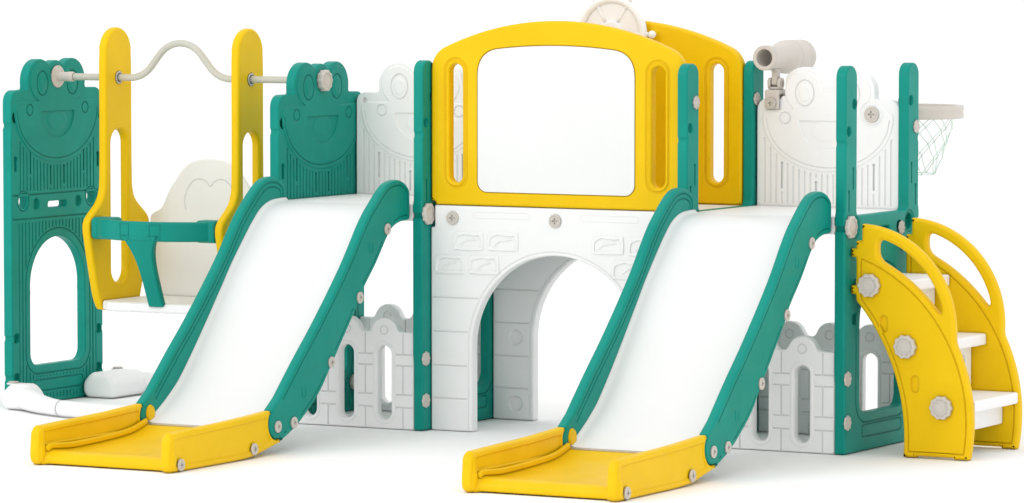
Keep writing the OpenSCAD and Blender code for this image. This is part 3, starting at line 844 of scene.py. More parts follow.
emit("deck_plate_left", deck(-BAY + 1, -1, 2, 444), WHITE, ["deck_left"])
emit("deck_plate_right", deck(EX + PT + 1, DX - 1, 2, 444), WHITE, ["deck_right"])
emit("deck_plate_bridge", deck(PT + 1, EX - 1, 83, 423), WHITE, ["deck_tunnel"])


def frog_back(x, notch):
    """a tower's white back; the right one has a notch for the telescope's clamp and a hoop bolt"""
    c = BAY / 2 + 1
    out = frog_field(c, BAY - 6, 79, 71, 1083, 990, 34)
    out = inter(out, box2(0, DECK - 48, BAY, 1200, 3))
    u, scope = HX - EX - PT, SCX - EX - PT
    if notch:
        out = sub(out, circ(u, 948, 6.5), box2(scope - 60, 998, scope + 38, 1200, 3))
    else:
        out = sub(out, circ(34, 962, 8))
    hf, head = head_feats(c, 79, 71, 1083, 208, 930, 152)
    slots = key_slots(c)
    region = inter(box2(16, 682, BAY - 16, 925, 2), lambda u, v: 9 - head(u, v), inv(grow(slots, 9)))
    fe = [Feat(flutes(c, FLUTE_PITCH, FLUTE_W, region), (8, 670, BAY - 8, 935), 1.9, 2.4, sigma=0.8),
          Feat(slots, (60, 680, BAY - 60, 815), 6, 1.8, h=1.5, sigma=0.6)]
    if notch:
        halo = circ(u, 948, 31)
        hf.f = inter(hf.f, inv(grow(halo, 7)))
        hf.sub = [s for s in hf.sub if not (s.bb[0] > c + 100)]
        hf.sub[0].f = inter(hf.sub[0].f, inv(grow(halo, 22)))
        fe.append(Feat(sub(halo, circ(u, 948, 13)), (u - 40, 910, u + 40, 985), -3.2, 4, sigma=1.0))
    fe.append(hf)
    g = plate(out, (0, DECK - 50, BAY, 1090), 448, 482, "y", r=(5, 5), front=fe, back=fe, sigma=2.4)
    return g.moved((x, 0, 0))


emit("frog_back_left", frog_back(-BAY, False), WHITE, ["frog_left"])
emit("frog_back_right", frog_back(EX + PT, True), WHITE, ["frog_right"])


def fence():
    """three pickets with a slot each and a pattern of bricks"""
    c = BAY / 2
    bumps = [circ(c + s * 130, 288, 45) for s in (-1, 0, 1)]
    body = suni(16, box2(1, 0, BAY - 1, 290, 5), *bumps)
    body = inter(body, box2(1, 0, BAY - 1, 400, 5))
    slots = uni(*[box2(c + s * 130 - 24, 27, c + s * 130 + 24, 248, 23.5) for s in (-1, 0, 1)])
    out = sub(body, slots)
    lip = inter(ring(slots, 7.5, 3.6), box2(8, 8, BAY - 8, 270))
    fe = [Feat(lip, (10, 5, BAY - 10, 270), -2.6, 3.6, sigma=1.0)]
    clear = inv(grow(slots, 16.0))
    cols = [c + s * 65 for s in (-3, -1, 1, 3)]
    upright = [cap2(u, a, u, b, 1.7) for u in cols for a, b in ((5, 63), (107, 188), (227, 284))]
    level = [inter(box2(6, z - 1.7, BAY - 6, z + 1.7), clear) for z in (66, 104, 191, 224)]
    fe.append(Feat(uni(*upright, *level), (4, 4, BAY - 4, 290), 1.9, 2.4, h=1.7, sigma=0.7))
    for s in (-1, 0, 1):
        u = c + s * 130
        fe.append(Feat(ring(circ(u, 296, 13), 0, 1.5), (u - 20, 275, u + 20, 318), 1.4, 2.0, h=1.5,
                       sigma=0.6))
    return plate(out, (0, 0, BAY, 336), 0, 30, "y", r=(4.5, 4.5), front=fe, back=fe, sigma=2.2)


picket = fence()
for side, x in (("left", -BAY), ("right", EX + PT)):
    for end, y in (("front", 5), ("back", PW - 38)):
        place = "%s_%s" % (side, end)
        emit("picket_" + place, picket.moved((x, y, 0)), WHITE, ["fence_" + place])

# ---------------------------------------------------------------- bridge


# a brick's rough outline, as shares of its width and height
BRICK_EDGE = ((0.02, 0.03), (0.5, 0.0), (0.985, 0.03), (1.0, 0.5), (0.98, 0.97), (0.55, 1.0), (0.16, 0.97),
              (0.03, 0.86), (0.0, 0.5))


def arch(notch):
    """a tunnel wall's outline, and the reliefs of its outer and its inner face"""
    hole = uni(box2(PT + 141, -60, EX - 141, 251), circ(TC, 251, 280))
    body = box2(PT + 1, 0, EX - 1, DECK - 3, 5)
    out = sub(body, hole, *([box2(PT - 30, 606, PT + 14, 682, 3)] if notch else []))
    fe = []
    edge = ring(hole, 12, 1.5)
    joints = [box2(PT + 8, z - 1.6, EX - 8, z + 1.6) for z in (397, 296, 195, 97)]
    clear = inv(grow(hole, 17.5))
    fe.append(Feat(inter(edge, box2(PT, 6, EX, 700)), (PT + 10, 4, EX - 10, 560), 1.3, 2.2, h=2, sigma=0.8))
    fe.append(Feat(inter(uni(*joints), clear), (PT + 4, 90, EX - 4, 404), 1.7, 2.2, h=1.7, sigma=0.6))
    bricks = [(111, 539, 214, 594), (227, 541, 332, 596), (48, 468, 150, 524), (163, 470, 267, 526)]
    bricks += [(2 * TC - b[2], b[1], 2 * TC - b[0], b[3]) for b in bricks]
    rng = np.random.RandomState(5)
    for b in bricks:
        w, hh = b[2] - b[0], b[3] - b[1]
        f = poly([(b[0] + w * a, b[1] + hh * q) for a, q in BRICK_EDGE])
        x1, x2 = b[0] + w * rng.uniform(0.25, 0.4), b[0] + w * rng.uniform(0.6, 0.85)
        rock = poly([(b[0] + 9, b[1] + 9), (x1, b[1] + 7), (x2, b[1] + 11), (b[2] - 9, b[1] + 9),
                     (b[2] - 8, b[1] + hh * 0.55), (b[2] - 16, b[3] - 9), (x2 - 8, b[3] - 12),
                     (x1 + 4, b[3] - 8), (b[0] + 12, b[3] - 17), (b[0] + 8, b[1] + hh * 0.4)])
        crack = line2([(x1 - 6, b[1] + 15), (x1 + 12, b[1] + hh * 0.5), (x2 - 4, b[1] + hh * 0.62)], 1.3)
        crack = Feat(crack, (b[0] + 6, b[1] + 6, b[2] - 6, b[3] - 6), -3.0, 3.0, h=1.2, sigma=0.6)
        subs = [Feat(rock, b, 2.4, 3.0, h=1.5, sigma=1.4, sub=[crack])]
        fe.append(Feat(f, (b[0] - 2, b[1] - 2, b[2] + 2, b[3] + 2), -4.2, 2.6, h=1.6, sigma=1.0, sub=subs))
    for a, b in ((188, 362), (2 * TC - 362, 2 * TC - 188)):
        fe.append(Feat(ring(cap2(a, 643, b, 643, 9), 0, 1.3), (a - 14, 628, b + 14, 658), 1.2, 1.9, h=1.4,
                       sigma=0.6))
    inner = fe[:2]
    for z in (251, 49):
        for u in (PT + 79, EX - 79):
            inner.append(Feat(circ(u, z, 22), around(u, z, 27), 12, 9, sigma=1.0, seg=6))
    return out, fe, inner


BRIDGE_Y = ((46, 82), (PW - 82, PW - 46))      # the front and the rear walls of the bridge
ARCH_BOX = (PT, -2, EX, DECK)
o, fe, inner = arch(True)
g = plate(o, ARCH_BOX, *BRIDGE_Y[0], "y", r=(5, 5), front=inner, back=fe, sigma=2.2)
emit("arch_wall_front", g, WHITE, ["arch_front"])
o, fe, inner = arch(False)
g = plate(o, ARCH_BOX, *BRIDGE_Y[1], "y", r=(5, 5), front=fe, back=inner, sigma=2.2)
emit("arch_wall_back", g, WHITE, ["arch_back"])


def board_field(g):
    """the write-on board's outline, grown by g"""
    top = inv(suni(70, inv(box2(TC - 261 - g, 760, TC + 261 + g, 1400, 1)),
                   inv(circ(TC, 1147 + g - 1700, 1700))))
    return uni(box2(TC - 261 - g, 713 - g, TC + 261 + g, 1000 + g, 32), top)


def grip_slot(s):
    return box2(TC + s * 336 - 22, 739, TC + s * 336 + 22, 1090, 21.9)


def guard(front):
    """outline of a yellow guard; the rear one has the steering wheel's hole"""
    body = inv(suni(46, inv(box2(PT + 1, DECK - 2, EX - 1, 1300, 3)), inv(circ(TC, 1219 - 925, 925))))
    body = uni(body, box2(PT + 1, DECK - 2, EX - 1, 900, 5))
    cut = box2(PT - 30, 606, PT + 14, 684, 3) if front else circ(TC, 1175, 8.1)
    return sub(body, uni(grip_slot(-1), grip_slot(1)), cut)


# the dishes round the slots cannot hold the slots themselves, so they are rings
dish = []
for s in (-1, 1):
    bb = (TC + s * 336 - 50, 700, TC + s * 336 + 50, 1130)
    dish.append(Feat(ring(grip_slot(s), 14.5, 3.5), bb, 2.6, 6.5, sigma=1.2))
gap = Feat(ring(board_field(0), 0.6, 1.3), (TC - 270, 700, TC + 270, 1160), 4.0, 0.9, h=1.6, sigma=0.5)
GUARD_BOX = (PT, DECK - 4, EX, 1222)
for end, ys, outside in (("front", BRIDGE_Y[0], dish + [gap]), ("back", BRIDGE_Y[1], dish)):
    g = plate(guard(end == "front"), GUARD_BOX, *ys, "y", r=(9, 9), front=dish, back=outside, sigma=2.4,
              seg=5)
    emit("guard_wall_" + end, g, YELLOW, ["guard_" + end])
board = plate(grow(board_field(0), -0.8), (TC - 265, 705, TC + 265, 1155), 45.3, 49, "y", r=(0.7, 0.3),
              sigma=2.0)
emit("write_board", board, BOARD, ["whiteboard"])

# ---------------------------------------------------------------- slides
# A slide's profiles in (Y, Z), from the deck down to the front: the top edges of the green and
# of the yellow walls, the lower edge, the round front end and the sliding surface.
up_g = [(-2, 700), (-6, 718), (-31, 738), (-76, 749), (-138, 736), (-213, 681), (-268, 630), (-371, 509),
        (-515, 366), (-632, 261), (-737, 162), (-787, 127)]
up_y = [(-787, 127), (-896, 121), (-1018, 116), (-1173, 112), (-1262, 109)]
lo_all = [(-1262, 0), (-1129, 0), (-916, 2), (-802, 19), (-725, 38), (-631, 79), (-525, 152), (-466, 214),
          (-394, 294), (-309, 389), (-273, 437), (-199, 509), (-137, 580), (-100, 610), (-55, 624),
          (-11, 627), (-2, 634)]
nose = [(-1262, 109), (-1286, 107), (-1304, 100), (-1311, 88), (-1313, 66), (-1316, 40), (-1315, 18),
        (-1306, 5), (-1285, 0), (-1262, 0)]
bed = [(-2, 672), (-30, 673), (-90, 668), (-140, 650), (-182, 618), (-230, 572), (-306, 493), (-364, 425),
       (-480, 292), (-580, 186), (-638, 139), (-694, 103), (-742, 78), (-807, 56), (-881, 42), (-1026, 34),
       (-1150, 31), (-1215, 34), (-1255, 37), (-1274, 33), (-1285, 22), (-1287, 10), (-1284, 3)]

top_curve = spline(up_g[:-1], 6).tolist() + spline(up_y, 5).tolist()
wall_poly = poly(top_curve + spline(nose, 4).tolist()[1:-1] + spline(lo_all, 5).tolist())
bulge = circ(-750, 90, 47)
green_zone = uni(box2(-735, -40, 60, 900), bulge, box2(-785, 92, -700, 240, 3))
front_cut = box2(-2200, -10, -1.5, 900)
g_field = inter(wall_poly, green_zone, front_cut, lambda u, v: -v)
y_field = sub(inter(wall_poly, lambda u, v: -v), grow(green_zone, 1.0))
wall_bb = (-800, -2, 2, 755)
exit_bb = (-1320, -2, -700, 150)
bolts_at = [(-140, 607), (-299, 416), (-460, 239), (-667, 83), (-880, 27), (-1258, 19)]
seam_bolt = (-754, 79)
seats = uni(*[circ(y, z, 19) for y, z in bolts_at + [seam_bolt]])


def u_mark(y, z):
    """a plain hook-shaped mark on a slide's outer side"""
    foot = inter(ring(circ(y, z, 10), 0, 1.6), lambda u, v: v - z)
    return uni(foot, cap2(y - 10, z, y - 10, z + 22, 1.6), cap2(y + 10, z, y + 10, z + 16, 1.6))


marks = uni(u_mark(-232, 552), u_mark(-608, 158))
out_line = inter(ring(grow(wall_poly, -16), 0, 1.5), box2(-722, 8, -14, 900), inv(grow(seats, 24)))
face_o = [Feat(out_line, wall_bb, 1.8, 3.0, sigma=0.8),
          Feat(marks, (-640, 130, -200, 600), -1.6, 2.2, h=1.6, sigma=0.7)]
in_lines = uni(ring(grow(wall_poly, -17), 0, 2.2), ring(grow(wall_poly, -31), 0, 1.8))
face_i = [Feat(inter(in_lines, box2(-722, 30, -14, 900)), wall_bb, 3.6, 4.2, sigma=1.0)]
gw = plate(g_field, wall_bb, 0, WT, "x", r=(9, 9), front=face_o, back=face_i, sigma=2.2, seg=5)
y_rec_o = inter(grow(wall_poly, -17), box2(-1289, 12, -790, 200, 8), inv(grow(green_zone, 12)))
y_rec_i = inter(grow(wall_poly, -17), box2(-1289, 58, -790, 200, 8), inv(grow(green_zone, 14)))
ye_o = [Feat(y_rec_o, exit_bb, 2.2, 4.0, sigma=2.2)]
ye_i = [Feat(y_rec_i, exit_bb, 2.6, 4.0, sigma=2.2)]
yw = plate(y_field, exit_bb, 0, WT, "x", r=(9, 9), front=ye_o, back=ye_i, sigma=2.2, seg=5)


def nose_post():
    """the thick rounded front end of an exit wall"""
    rows = []
    prof = [(2, 12), (8, 17), (18, 20.5), (34, 21.5), (48, 20), (60, 17.4), (76, 16.6), (92, 16.2),
            (101, 14), (107, 9), (109.5, 3)]
    a = np.linspace(0, 2 * np.pi, 28, endpoint=False)
    for z, r in [(0, 7)] + prof:
        rows.append(np.stack([np.cos(a) * r, -1293 + np.sin(a) * r * 1.02, np.full(len(a), z)], 1))
    return orient(grid(rows, close_v=True, caps=True))


bed_c = spline(bed, 8)
half = SLW / 2 - WT


def bed_geo(y_hi, y_lo):
    """the sliding surface: flat across, rolled up at both sides, with a rolled front edge"""
    P = np.array([p for p in bed_c if y_lo - 0.01 <= p[0] <= y_hi + 0.01])
    T = np.gradient(P, axis=0)
    T /= np.linalg.norm(T, axis=1, keepdims=True)
    Nn = np.stack([T[:, 1], -T[:, 0]], 1)
    edge = np.array([-3, 1, 4, 8, 13, 20])
    edge_lift = [11, 10.4, 7.0, 3.4, 1.1, 0.15]
    xs = np.concatenate([edge - half, np.linspace(-half + 40, half - 40, 9), half - edge[::-1]])
    lift = np.array(edge_lift + [0] * 9 + edge_lift[::-1])
    rows = []
    for p, n in zip(P, Nn):
        top = [(x, p[0] + n[0] * l, max(p[1] + n[1] * l, 0.8)) for x, l in zip(xs, lift)]
        if p[0] > -1100:
            d = 22.0 if p[0] > -900 else max(6.0, min(22.0, p[1] - 3))
            bot = [(x, p[0] - n[0] * d, max(p[1] - n[1] * d, 1.0)) for x in xs[::-1]]
        else:
            bot = [(x, max(p[0], -1262.0) - len(rows) * 0.02, 1.0) for x in xs[::-1]]
        rows.append(top + bot)
    return orient(grid(rows, close_v=True, caps=True))


bed_white = bed_geo(-2, -772)
bed_yellow = bed_geo(-768, -1290)


def ledge():
    """the low kerb inside an exit wall, along the bed"""
    P = np.array([p for p in bed_c if -1280 <= p[0] <= -776])
    path = np.column_stack([np.zeros(len(P)), P[:, 0], P[:, 1] + 13])
    return orient(sweep(path, round_rect(13, 17, 5), ends=4))


def socket_disc():
    """the round end of a green wall, seen inside the exit wall"""
    rows = []
    for k in range(4):
        a, b = 21 - k * k * 0.5, 26 - k * k * 0.5
        turn = np.linspace(0, 2 * np.pi, 28, endpoint=False)
        rows.append([(3.0 * k, -752 + math.cos(t) * a, 96 + math.sin(t) * b) for t in turn])
    return orient(grid(rows, close_v=True, caps=True))


post, kerb, socket = nose_post(), ledge(), socket_disc()
for side, c in (("left", LC), ("right", RC)):
    ends = []
    for n, way in (("a", 1), ("b", -1)):
        outer = c - way * SLW / 2
        low_x = min(outer, outer + way * WT)
        wall, end, disc = gw, yw, socket
        if way > 0:
            wall, end = gw.flipped(0, WT / 2), yw.flipped(0, WT / 2)
        else:
            disc = socket.flipped(0, 0)
        emit("slide_%s_side_%s" % (side, n), wall.moved((low_x, 0, 0)), GREEN,
             ["slide_%s_wall_%s" % (side, n)])
        g = Geo().add(end.moved((low_x, 0, 0)), post.moved((outer + way * 15.5, 0, 0)))
        g.add(kerb.moved((outer + way * (WT + 5), 0, 0)), disc.moved((outer + way * (WT - 2), 0, 0)))
        ends.append((n, g))
    emit("slide_%s_surface" % side, bed_white.moved((c, 0, 0)), BED, ["slide_%s_bed" % side])
    emit("slide_%s_run_out" % side, bed_yellow.moved((c, 0, 0)), YELLOW, ["slide_%s_exit" % side])
    for n, g in ends:
        emit("slide_%s_end_%s" % (side, n), g, YELLOW, ["slide_%s_exit_%s" % (side, n)])

# ---------------------------------------------------------------- stairs
S0 = DX + PT
curve_out, curve_in = circ(-125, 100, 500), circ(-409, 50, 575)
rail_arc = circ(21, 355, 268)
outer_s = suni(7, curve_out, circ(21, 355, 300))
hole_s = inv(suni(24, inv(rail_arc), circ(-125, 100, 501), inv(box2(84, 300, 500, 900))))
st = inter(outer_s, uni(box2(16, 0, 640, 607, 3), box2(34, 480, 640, 760, 3)))
st = inter(uni(st, box2(1, 455, 20, 480, 3), box2(1, 560, 20, 585, 3)), box2(0, 0, 640, 800))
st = sub(st, curve_in, hole_s, box2(205, -20, 318, 5, 2))
p_in = inter(grow(curve_out, -17), box2(34, 17, 640, 556, 6), inv(grow(curve_in, 17)), inv(grow(hole_s, 17)))
knobs_at = [(62, 482), (174, 313), (285, 146)]
ovals = uni(cap2(105, 363, 105, 386, 13), cap2(202, 197, 202, 220, 13))
sf = [Feat(ring(p_in, 0, 1.7), (16, 8, 390, 600), 2.2, 3.4, sigma=1.0),
      Feat(ovals, (80, 170, 225, 410), 6.5, 2.6, h=1.5, sigma=0.6)]
sw = plate(st, (0, -2, 385, 660), 0, 33, "y", r=(11.5, 11.5), front=sf, back=sf, sigma=2.6, seg=5)
emit("stair_side_near", sw.moved((S0, 30, 0)), YELLOW, ["stair_near"])
emit("stair_side_far", sw.moved((S0, 374, 0)), YELLOW, ["stair_far"])


def step(x, z, w, skirt):
    """a tread from x, w deep, its top at z, with a skirt below its front"""
    y0, y1 = 63.5, 373.5
    f = suni(5, box2(x, z - 33, x + w, z, 5), box2(x + w - 75, z - 33 - skirt, x + w - 47, z - 20, 5))
    g = plate(f, (x - 2, z - 40 - skirt, x + w + 2, z + 2), y0, y1, "y", r=(2.5, 2.5), sigma=2.2)
    us = [x + 22 + k * 15 for k in range(int((w - 34) // 15))]
    ribs = uni(*[cap2(u, 92, u, 345, 3.2) for u in us])
    pad = box2(x + 9, 76, x + w - 9, 361, 8)
    g.add(plate(pad, (x, 60, x + w, 375), z - 6, z + 0.4, "z", r=(0.5, 1.5), sigma=2.0,
                front=[Feat(ribs, (x + 10, 80, x + w - 10, 356), -1.0, 2.0, h=2, sigma=0.8)]))
    if skirt > 100:
        xr = x + w - 47
        fr = sub(box2(74, z - 30 - skirt, 363, z - 36, 6), box2(112, z - 22 - skirt, 325, z - 58, 22))
        g.add(plate(fr, (60, z - 40 - skirt, 375, z - 30), xr - 4, xr + 6, "x", r=(1, 3), sigma=2.0))
    return g.moved((S0, 0, 0))


for level, size in (("low", (225, 165, 146, 60)), ("mid", (114, 330, 158, 128)),
                    ("top", (2, 495, 155, 128))):
    emit("tread_" + level, step(*size), WHITE, ["step_" + level])

# ---------------------------------------------------------------- swing
YB, ZB = MID, 1028.0      # the bar's middle line
ARM = 229.0               # from the swing's middle to an arm's inner face


def side_outline():
    """a swing arm's outline: wide at the seat, narrow and round at the top"""
    front = [(-60, 300), (60, 300), (100, 306), (124, 350), (150, 450), (170, 540), (173, 566), (164, 590),
             (140, 610), (100, 640), (82, 668), (76, 720), (75, 900), (75, 1060), (73, 1110)]
    top = arc_pts(0, 1111, 74, 8, 172, 19).tolist()
    rear = [(-73, 1110), (-75, 1060), (-75, 900), (-77, 720), (-84, 672), (-104, 640), (-146, 608),
            (-167, 586), (-172, 560), (-164, 520), (-142, 430), (-118, 345), (-96, 306)]
    points = spline(front, 5).tolist() + top + spline(rear, 5).tolist()
    return poly([(p[0] + YB, p[1]) for p in points])


slot = box2(YB - 44, 385, YB + 44, 866, 43.9)
sd = sub(side_outline(), slot, circ(YB, ZB, 15.9))
lipf = Feat(ring(slot, 13, 1.2), (YB - 70, 360, YB + 70, 890), 0.9, 3.0, sigma=0.8)
ss = plate(sd, (YB - 180, 296, YB + 180, 1190), 0, 30, "x", r=(10, 10), front=[lipf], back=[lipf], sigma=2.6,
           seg=6)
emit("swing_arm_a", ss.moved((SWX - ARM - 30, 0, 0)), YELLOW, ["swing_side_a"], "swing")
emit("swing_arm_b", ss.moved((SWX + ARM, 0, 0)), YELLOW, ["swing_side_b"], "swing")

# a bearing ring's profile: radius, place along the bar
BUSH = [(11.3, 0), (18.5, 0), (20, 1), (20, 2), (15.8, 2.6), (15.8, 31.4), (20, 32), (20, 33), (18.5, 34),
        (11.3, 34)]
bush = Geo()
for x in (SWX - ARM - 32, SWX + ARM - 2):
    bush.add(orient(lathe(BUSH, (x, YB, ZB), "x", 48)))
emit("swing_bush_rings", bush, SAND, ["swing_bushes"], "swing")

seat_pts = [(-228, 150), (-228, 300), (-228, 420), (0, 420), (228, 420), (228, 300), (228, 150), (214, 146),
            (200, 130), (186, 112), (165, 105), (80, 108), (0, 112), (-80, 108), (-165, 105), (-186, 112),
            (-200, 130), (-214, 146)]
sp = poly([(SWX + a, b) for a, b in seat_pts])
ribs = uni(*[cap2(SWX + k * 40, 200, SWX + k * 40, 350, 4) for k in range(-3, 4)])
ribs = Feat(ribs, (SWX - 150, 180, SWX + 150, 370), -1.2, 2.5, sigma=0.8)
scoop = Feat(box2(SWX - 190, 140, SWX + 190, 400, 60), (SWX - 200, 130, SWX + 200, 410), 2.5, 26, h=3,
             sigma=3.0, sub=[ribs])
under = Feat(ring(box2(SWX - 200, 160, SWX + 200, 395, 30), 0, 4), (SWX - 220, 140, SWX + 220, 410), 3, 4,
             h=3, sigma=1.2)
seat = plate(sp, (SWX - 232, 100, SWX + 232, 424), 305, 335, "z", r=(9, 9), front=[scoop], back=[under], h=3,
             sigma=4.0, seg=5)
emit("swing_seat_board", seat, WHITE, ["swing_seat"], "swing")

back_pts = [(-228, 320), (-228, 560), (-222, 590), (-205, 602), (-186, 612), (-172, 636), (-156, 668),
            (-128, 706),
            (-104, 736), (-76, 758), (-40, 770), (0, 773)]
back_pts += [(-a, b) for a, b in reversed(back_pts[:-1])]
bk = poly([(SWX + a, b) for a, b in spline(back_pts, 4)] + [(SWX + 205, 306), (SWX - 205, 306)])
half_heart = [(-92, 610), (-96, 640), (-84, 676), (-62, 700), (-38, 706), (-14, 698), (0, 684)]
whole = half_heart + [(-a, b) for a, b in reversed(half_heart[:-1])]
heart = line2([(SWX + a, b) for a, b in spline(whole, 5)], 1.7)
bfe = [Feat(heart, (SWX - 110, 590, SWX + 110, 720), 1.8, 2.4, h=1.6, sigma=0.8)]
bplate = plate(bk, (SWX - 232, 300, SWX + 232, 778), 421, 437, "y", r=(6.5, 6.5), front=[], back=bfe, h=2.5,
               sigma=3.0, seg=5)
emit("swing_backrest", bplate, WHITE, ["swing_back"], "swing")

# the front guard is an arc through both arms
bow = 100.0
gr = (ARM ** 2 + bow ** 2) / (2 * bow)
ga = math.degrees(math.asin(ARM / gr)) - 1
ang = np.linspace(270 - ga, 270 + ga, 41)


def guard_pt(deg, radius, z):
    """a point on an arc round the front guard's middle of curvature"""
    a = math.radians(deg)
    return (SWX + radius * math.cos(a), 10 + gr + radius * math.sin(a), z)


arcp = np.array([guard_pt(deg, gr - 13, 563.5) for deg in ang])
bar_guard = orient(sweep(arcp, round_rect(26, 61, 9, 6), ends=2))
for s in (-1, 1):
    b = plate(box2(86, 529, 160, 598, 16), (80, 520, 165, 605), 0, 76, "x", r=(11, 11), sigma=2.4, seg=5)
    bar_guard.add(b.moved((SWX + s * (ARM - 38) - 38, 0, 0)))
stem = []
for k in np.linspace(0, 1, 13):
    z = 552 - 222 * k
    y = 22 + 92 * k ** 1.25 + 10 * math.sin(k * math.pi) * 0.6
    stem.append((SWX, y, z))


def stem_sec(k):
    """the guard's stem: wide where it leaves the bar"""
    w = 56 + 78 * (1 - k) ** 4.5
    return round_rect(w, 25 - 3 * k, 8, 6)


bar_guard.add(orient(sweep(stem, stem_sec, up=(0, -1, 0.35), ends=1)))
# raised lines that frame two panels on the guard's front
for s in (-1, 1):
    a0, a1 = 270 + s * 7.0, 270 + s * 13.5
    for deg in (a0, a1):
        p = np.array([guard_pt(deg, gr + 0.1, z) for z in np.linspace(540, 587, 9)])
        bar_guard.add(orient(sweep(p, circle_section(1.3, 8), up=(0, 1, 0), ends=1)))
    for z in (540, 587):
        p = np.array([guard_pt(deg, gr + 0.1, z) for deg in np.linspace(a0, a1, 9)])
        bar_guard.add(orient(sweep(p, circle_section(1.3, 8), ends=1)))
emit("swing_front_guard", bar_guard, GREEN, ["swing_guard"], "swing")

# the bar: straight ends, one smooth hump
br, ba, hh = 100.0, 50.0, 109.0      # bend radius, slope in degrees and height of the hump
rl = (hh - 2 * br * (1 - math.cos(math.radians(ba)))) / math.sin(math.radians(ba))
hwid = 2 * br * math.sin(math.radians(ba)) + rl * math.cos(math.radians(ba))
left_end, right_end = AX - 10, BX + PT + 10
pts = [(x, ZB) for x in np.linspace(left_end, SWX - hwid, 12)]
for deg in np.linspace(4, ba, 12):
    a = math.radians(deg)
    pts.append((SWX - hwid + br * math.sin(a), ZB + br * (1 - math.cos(a))))
for deg in np.linspace(ba, 0, 13):
    a = math.radians(deg)
    pts.append((SWX - br * math.sin(a), ZB + hh - br * (1 - math.cos(a))))
pts += [(2 * SWX - x, z) for x, z in reversed(pts[:-1])]
pts = [p for p in pts if p[0] <= SWX + hwid + 0.01]
pts += [(x, ZB) for x in np.linspace(SWX + hwid, right_end, 12)[1:]]
bar = orient(sweep([(x, YB, z) for x, z in pts], circle_section(10.9, 32), up=(0, 1, 0)))
emit("swing_bar_tube", bar, TUBE, ["swing_bar"])

flange = [(11.2, 0), (34, 0), (35, 1), (35, 5), (33.5, 7), (24, 7.6), (22, 9), (17, 9.4), (15, 12),
          (14.6, 40),
          (15.8, 44), (15.8, 58), (15, 64), (13.4, 66.5), (11.2, 67)]
fx = AX + PT
fl = Geo().add(orient(lathe(flange, (fx, YB, ZB), "x", 56)))
for k in range(8):
    a = math.radians(k * 45)
    c = (fx + 6.5, YB + 28 * math.cos(a), ZB + 28 * math.sin(a))
    fl.add(orient(lathe([(0.01, -2), (2.6, -2), (2.6, 1.2), (2.0, 1.8), (0.01, 2)], c, "x", 14)))
for k in range(10):
    a = math.radians(k * 36 + 12)
    c = (fx + 7, YB + 20.5 * math.cos(a), ZB + 20.5 * math.sin(a))
    fl.add(orient(lathe([(0.01, -2), (1.3, -2), (1.3, 1.0), (0.01, 1.3)], c, "x", 10)))
emit("bar_flange_cup", fl, SAND, ["bar_flange"])

# ---------------------------------------------------------------- fasteners

def star(r, n=8, lobe=8.0, k=2.5):
    """a knob's outline with n lobes"""
    a = [2 * math.pi * i / n for i in range(n)]
    return suni(k, circ(0, 0, r - 3),
                *[circ((r - lobe) * math.cos(x), (r - lobe) * math.sin(x), lobe) for x in a])


_done = {}


def cap_geo(kind, r, t):
    """a fastener's head on the X = 0 face, looking along +X"""
    key = (kind, r, t)
    if key in _done:
        return _done[key]
    bb = (-r - 1, -r - 1, r + 1, r + 1)
    if kind == "cross":
        f = circ(0, 0, r)
        a = r * 0.46
        plus = suni(1.2, box2(-a, -2.3, a, 2.3, 1.0), box2(-2.3, -a, 2.3, a, 1.0))
        fe = [Feat(ring(circ(0, 0, r * 0.72), 0, 0.8), bb, 0.9, 1.2, h=1.0, sigma=0.4),
              Feat(plus, bb, 2.0, 1.2, h=1.0, sigma=0.4)]
        g = plate(f, bb, 0, t, "x", r=(0.3, 1.8), front=fe, h=1.5, sigma=1.0, seg=4)
    elif kind == "rose":
        f = star(r, 8, r * 0.3, 2.0)
        ways = [(math.cos(x), math.sin(x)) for x in [math.pi * k / 4 + 0.39 for k in range(8)]]
        petal = uni(*[cap2(r * 0.36 * a, r * 0.36 * b, r * 0.58 * a, r * 0.58 * b, 1.5) for a, b in ways])
        fe = [Feat(petal, bb, 1.0, 1.2, h=1.0, sigma=0.4),
              Feat(ring(circ(0, 0, r * 0.76), 0, 0.7), bb, 0.8, 1.2, h=1.0, sigma=0.4),
              Feat(circ(0, 0, r * 0.2), bb, -1.0, 1.6, h=1.0, sigma=0.5)]
        g = plate(f, bb, 0, t - 1, "x", r=(0.3, 2.2), front=fe, h=1.5, sigma=0.8, seg=4)
    else:
        f = star(r, 10, 6.4, 1.6)
        inner = star(r * 0.74, 10, 4.6, 1.2)
        boss = Feat(circ(0, 0, r * 0.42), bb, -1.4, 2.2, h=1.4, sigma=0.6)
        fe = [Feat(inner, bb, 1.6, 2.0, h=1.4, sigma=0.7, sub=[boss])]
        g = plate(f, bb, 0, t, "x", r=(1.0, min(4.5, t * 0.4)), front=fe, h=1.5, sigma=1.0, seg=5)
    _done[key] = g
    return g


def cap_at(kind, r, t, pos, way):
    """way: +x, -x, +y, -y or +z"""
    g = cap_geo(kind, r, t)
    if way == "-x":
        g = g.flipped(0, 0)
    elif way == "+y":
        g = g.turned(rot(2, 90))
    elif way == "-y":
        g = g.turned(rot(2, -90))
    elif way == "+z":
        g = g.turned(rot(1, -90))
    return g.moved(pos)


def rod(axis, pos, r, length, n=20):
    profile = [(0.01, 0), (r - 0.6, 0), (r, 0.6), (r, length - 0.6), (r - 0.6, length), (0.01, length)]
    return orient(lathe(profile, pos, axis, n))


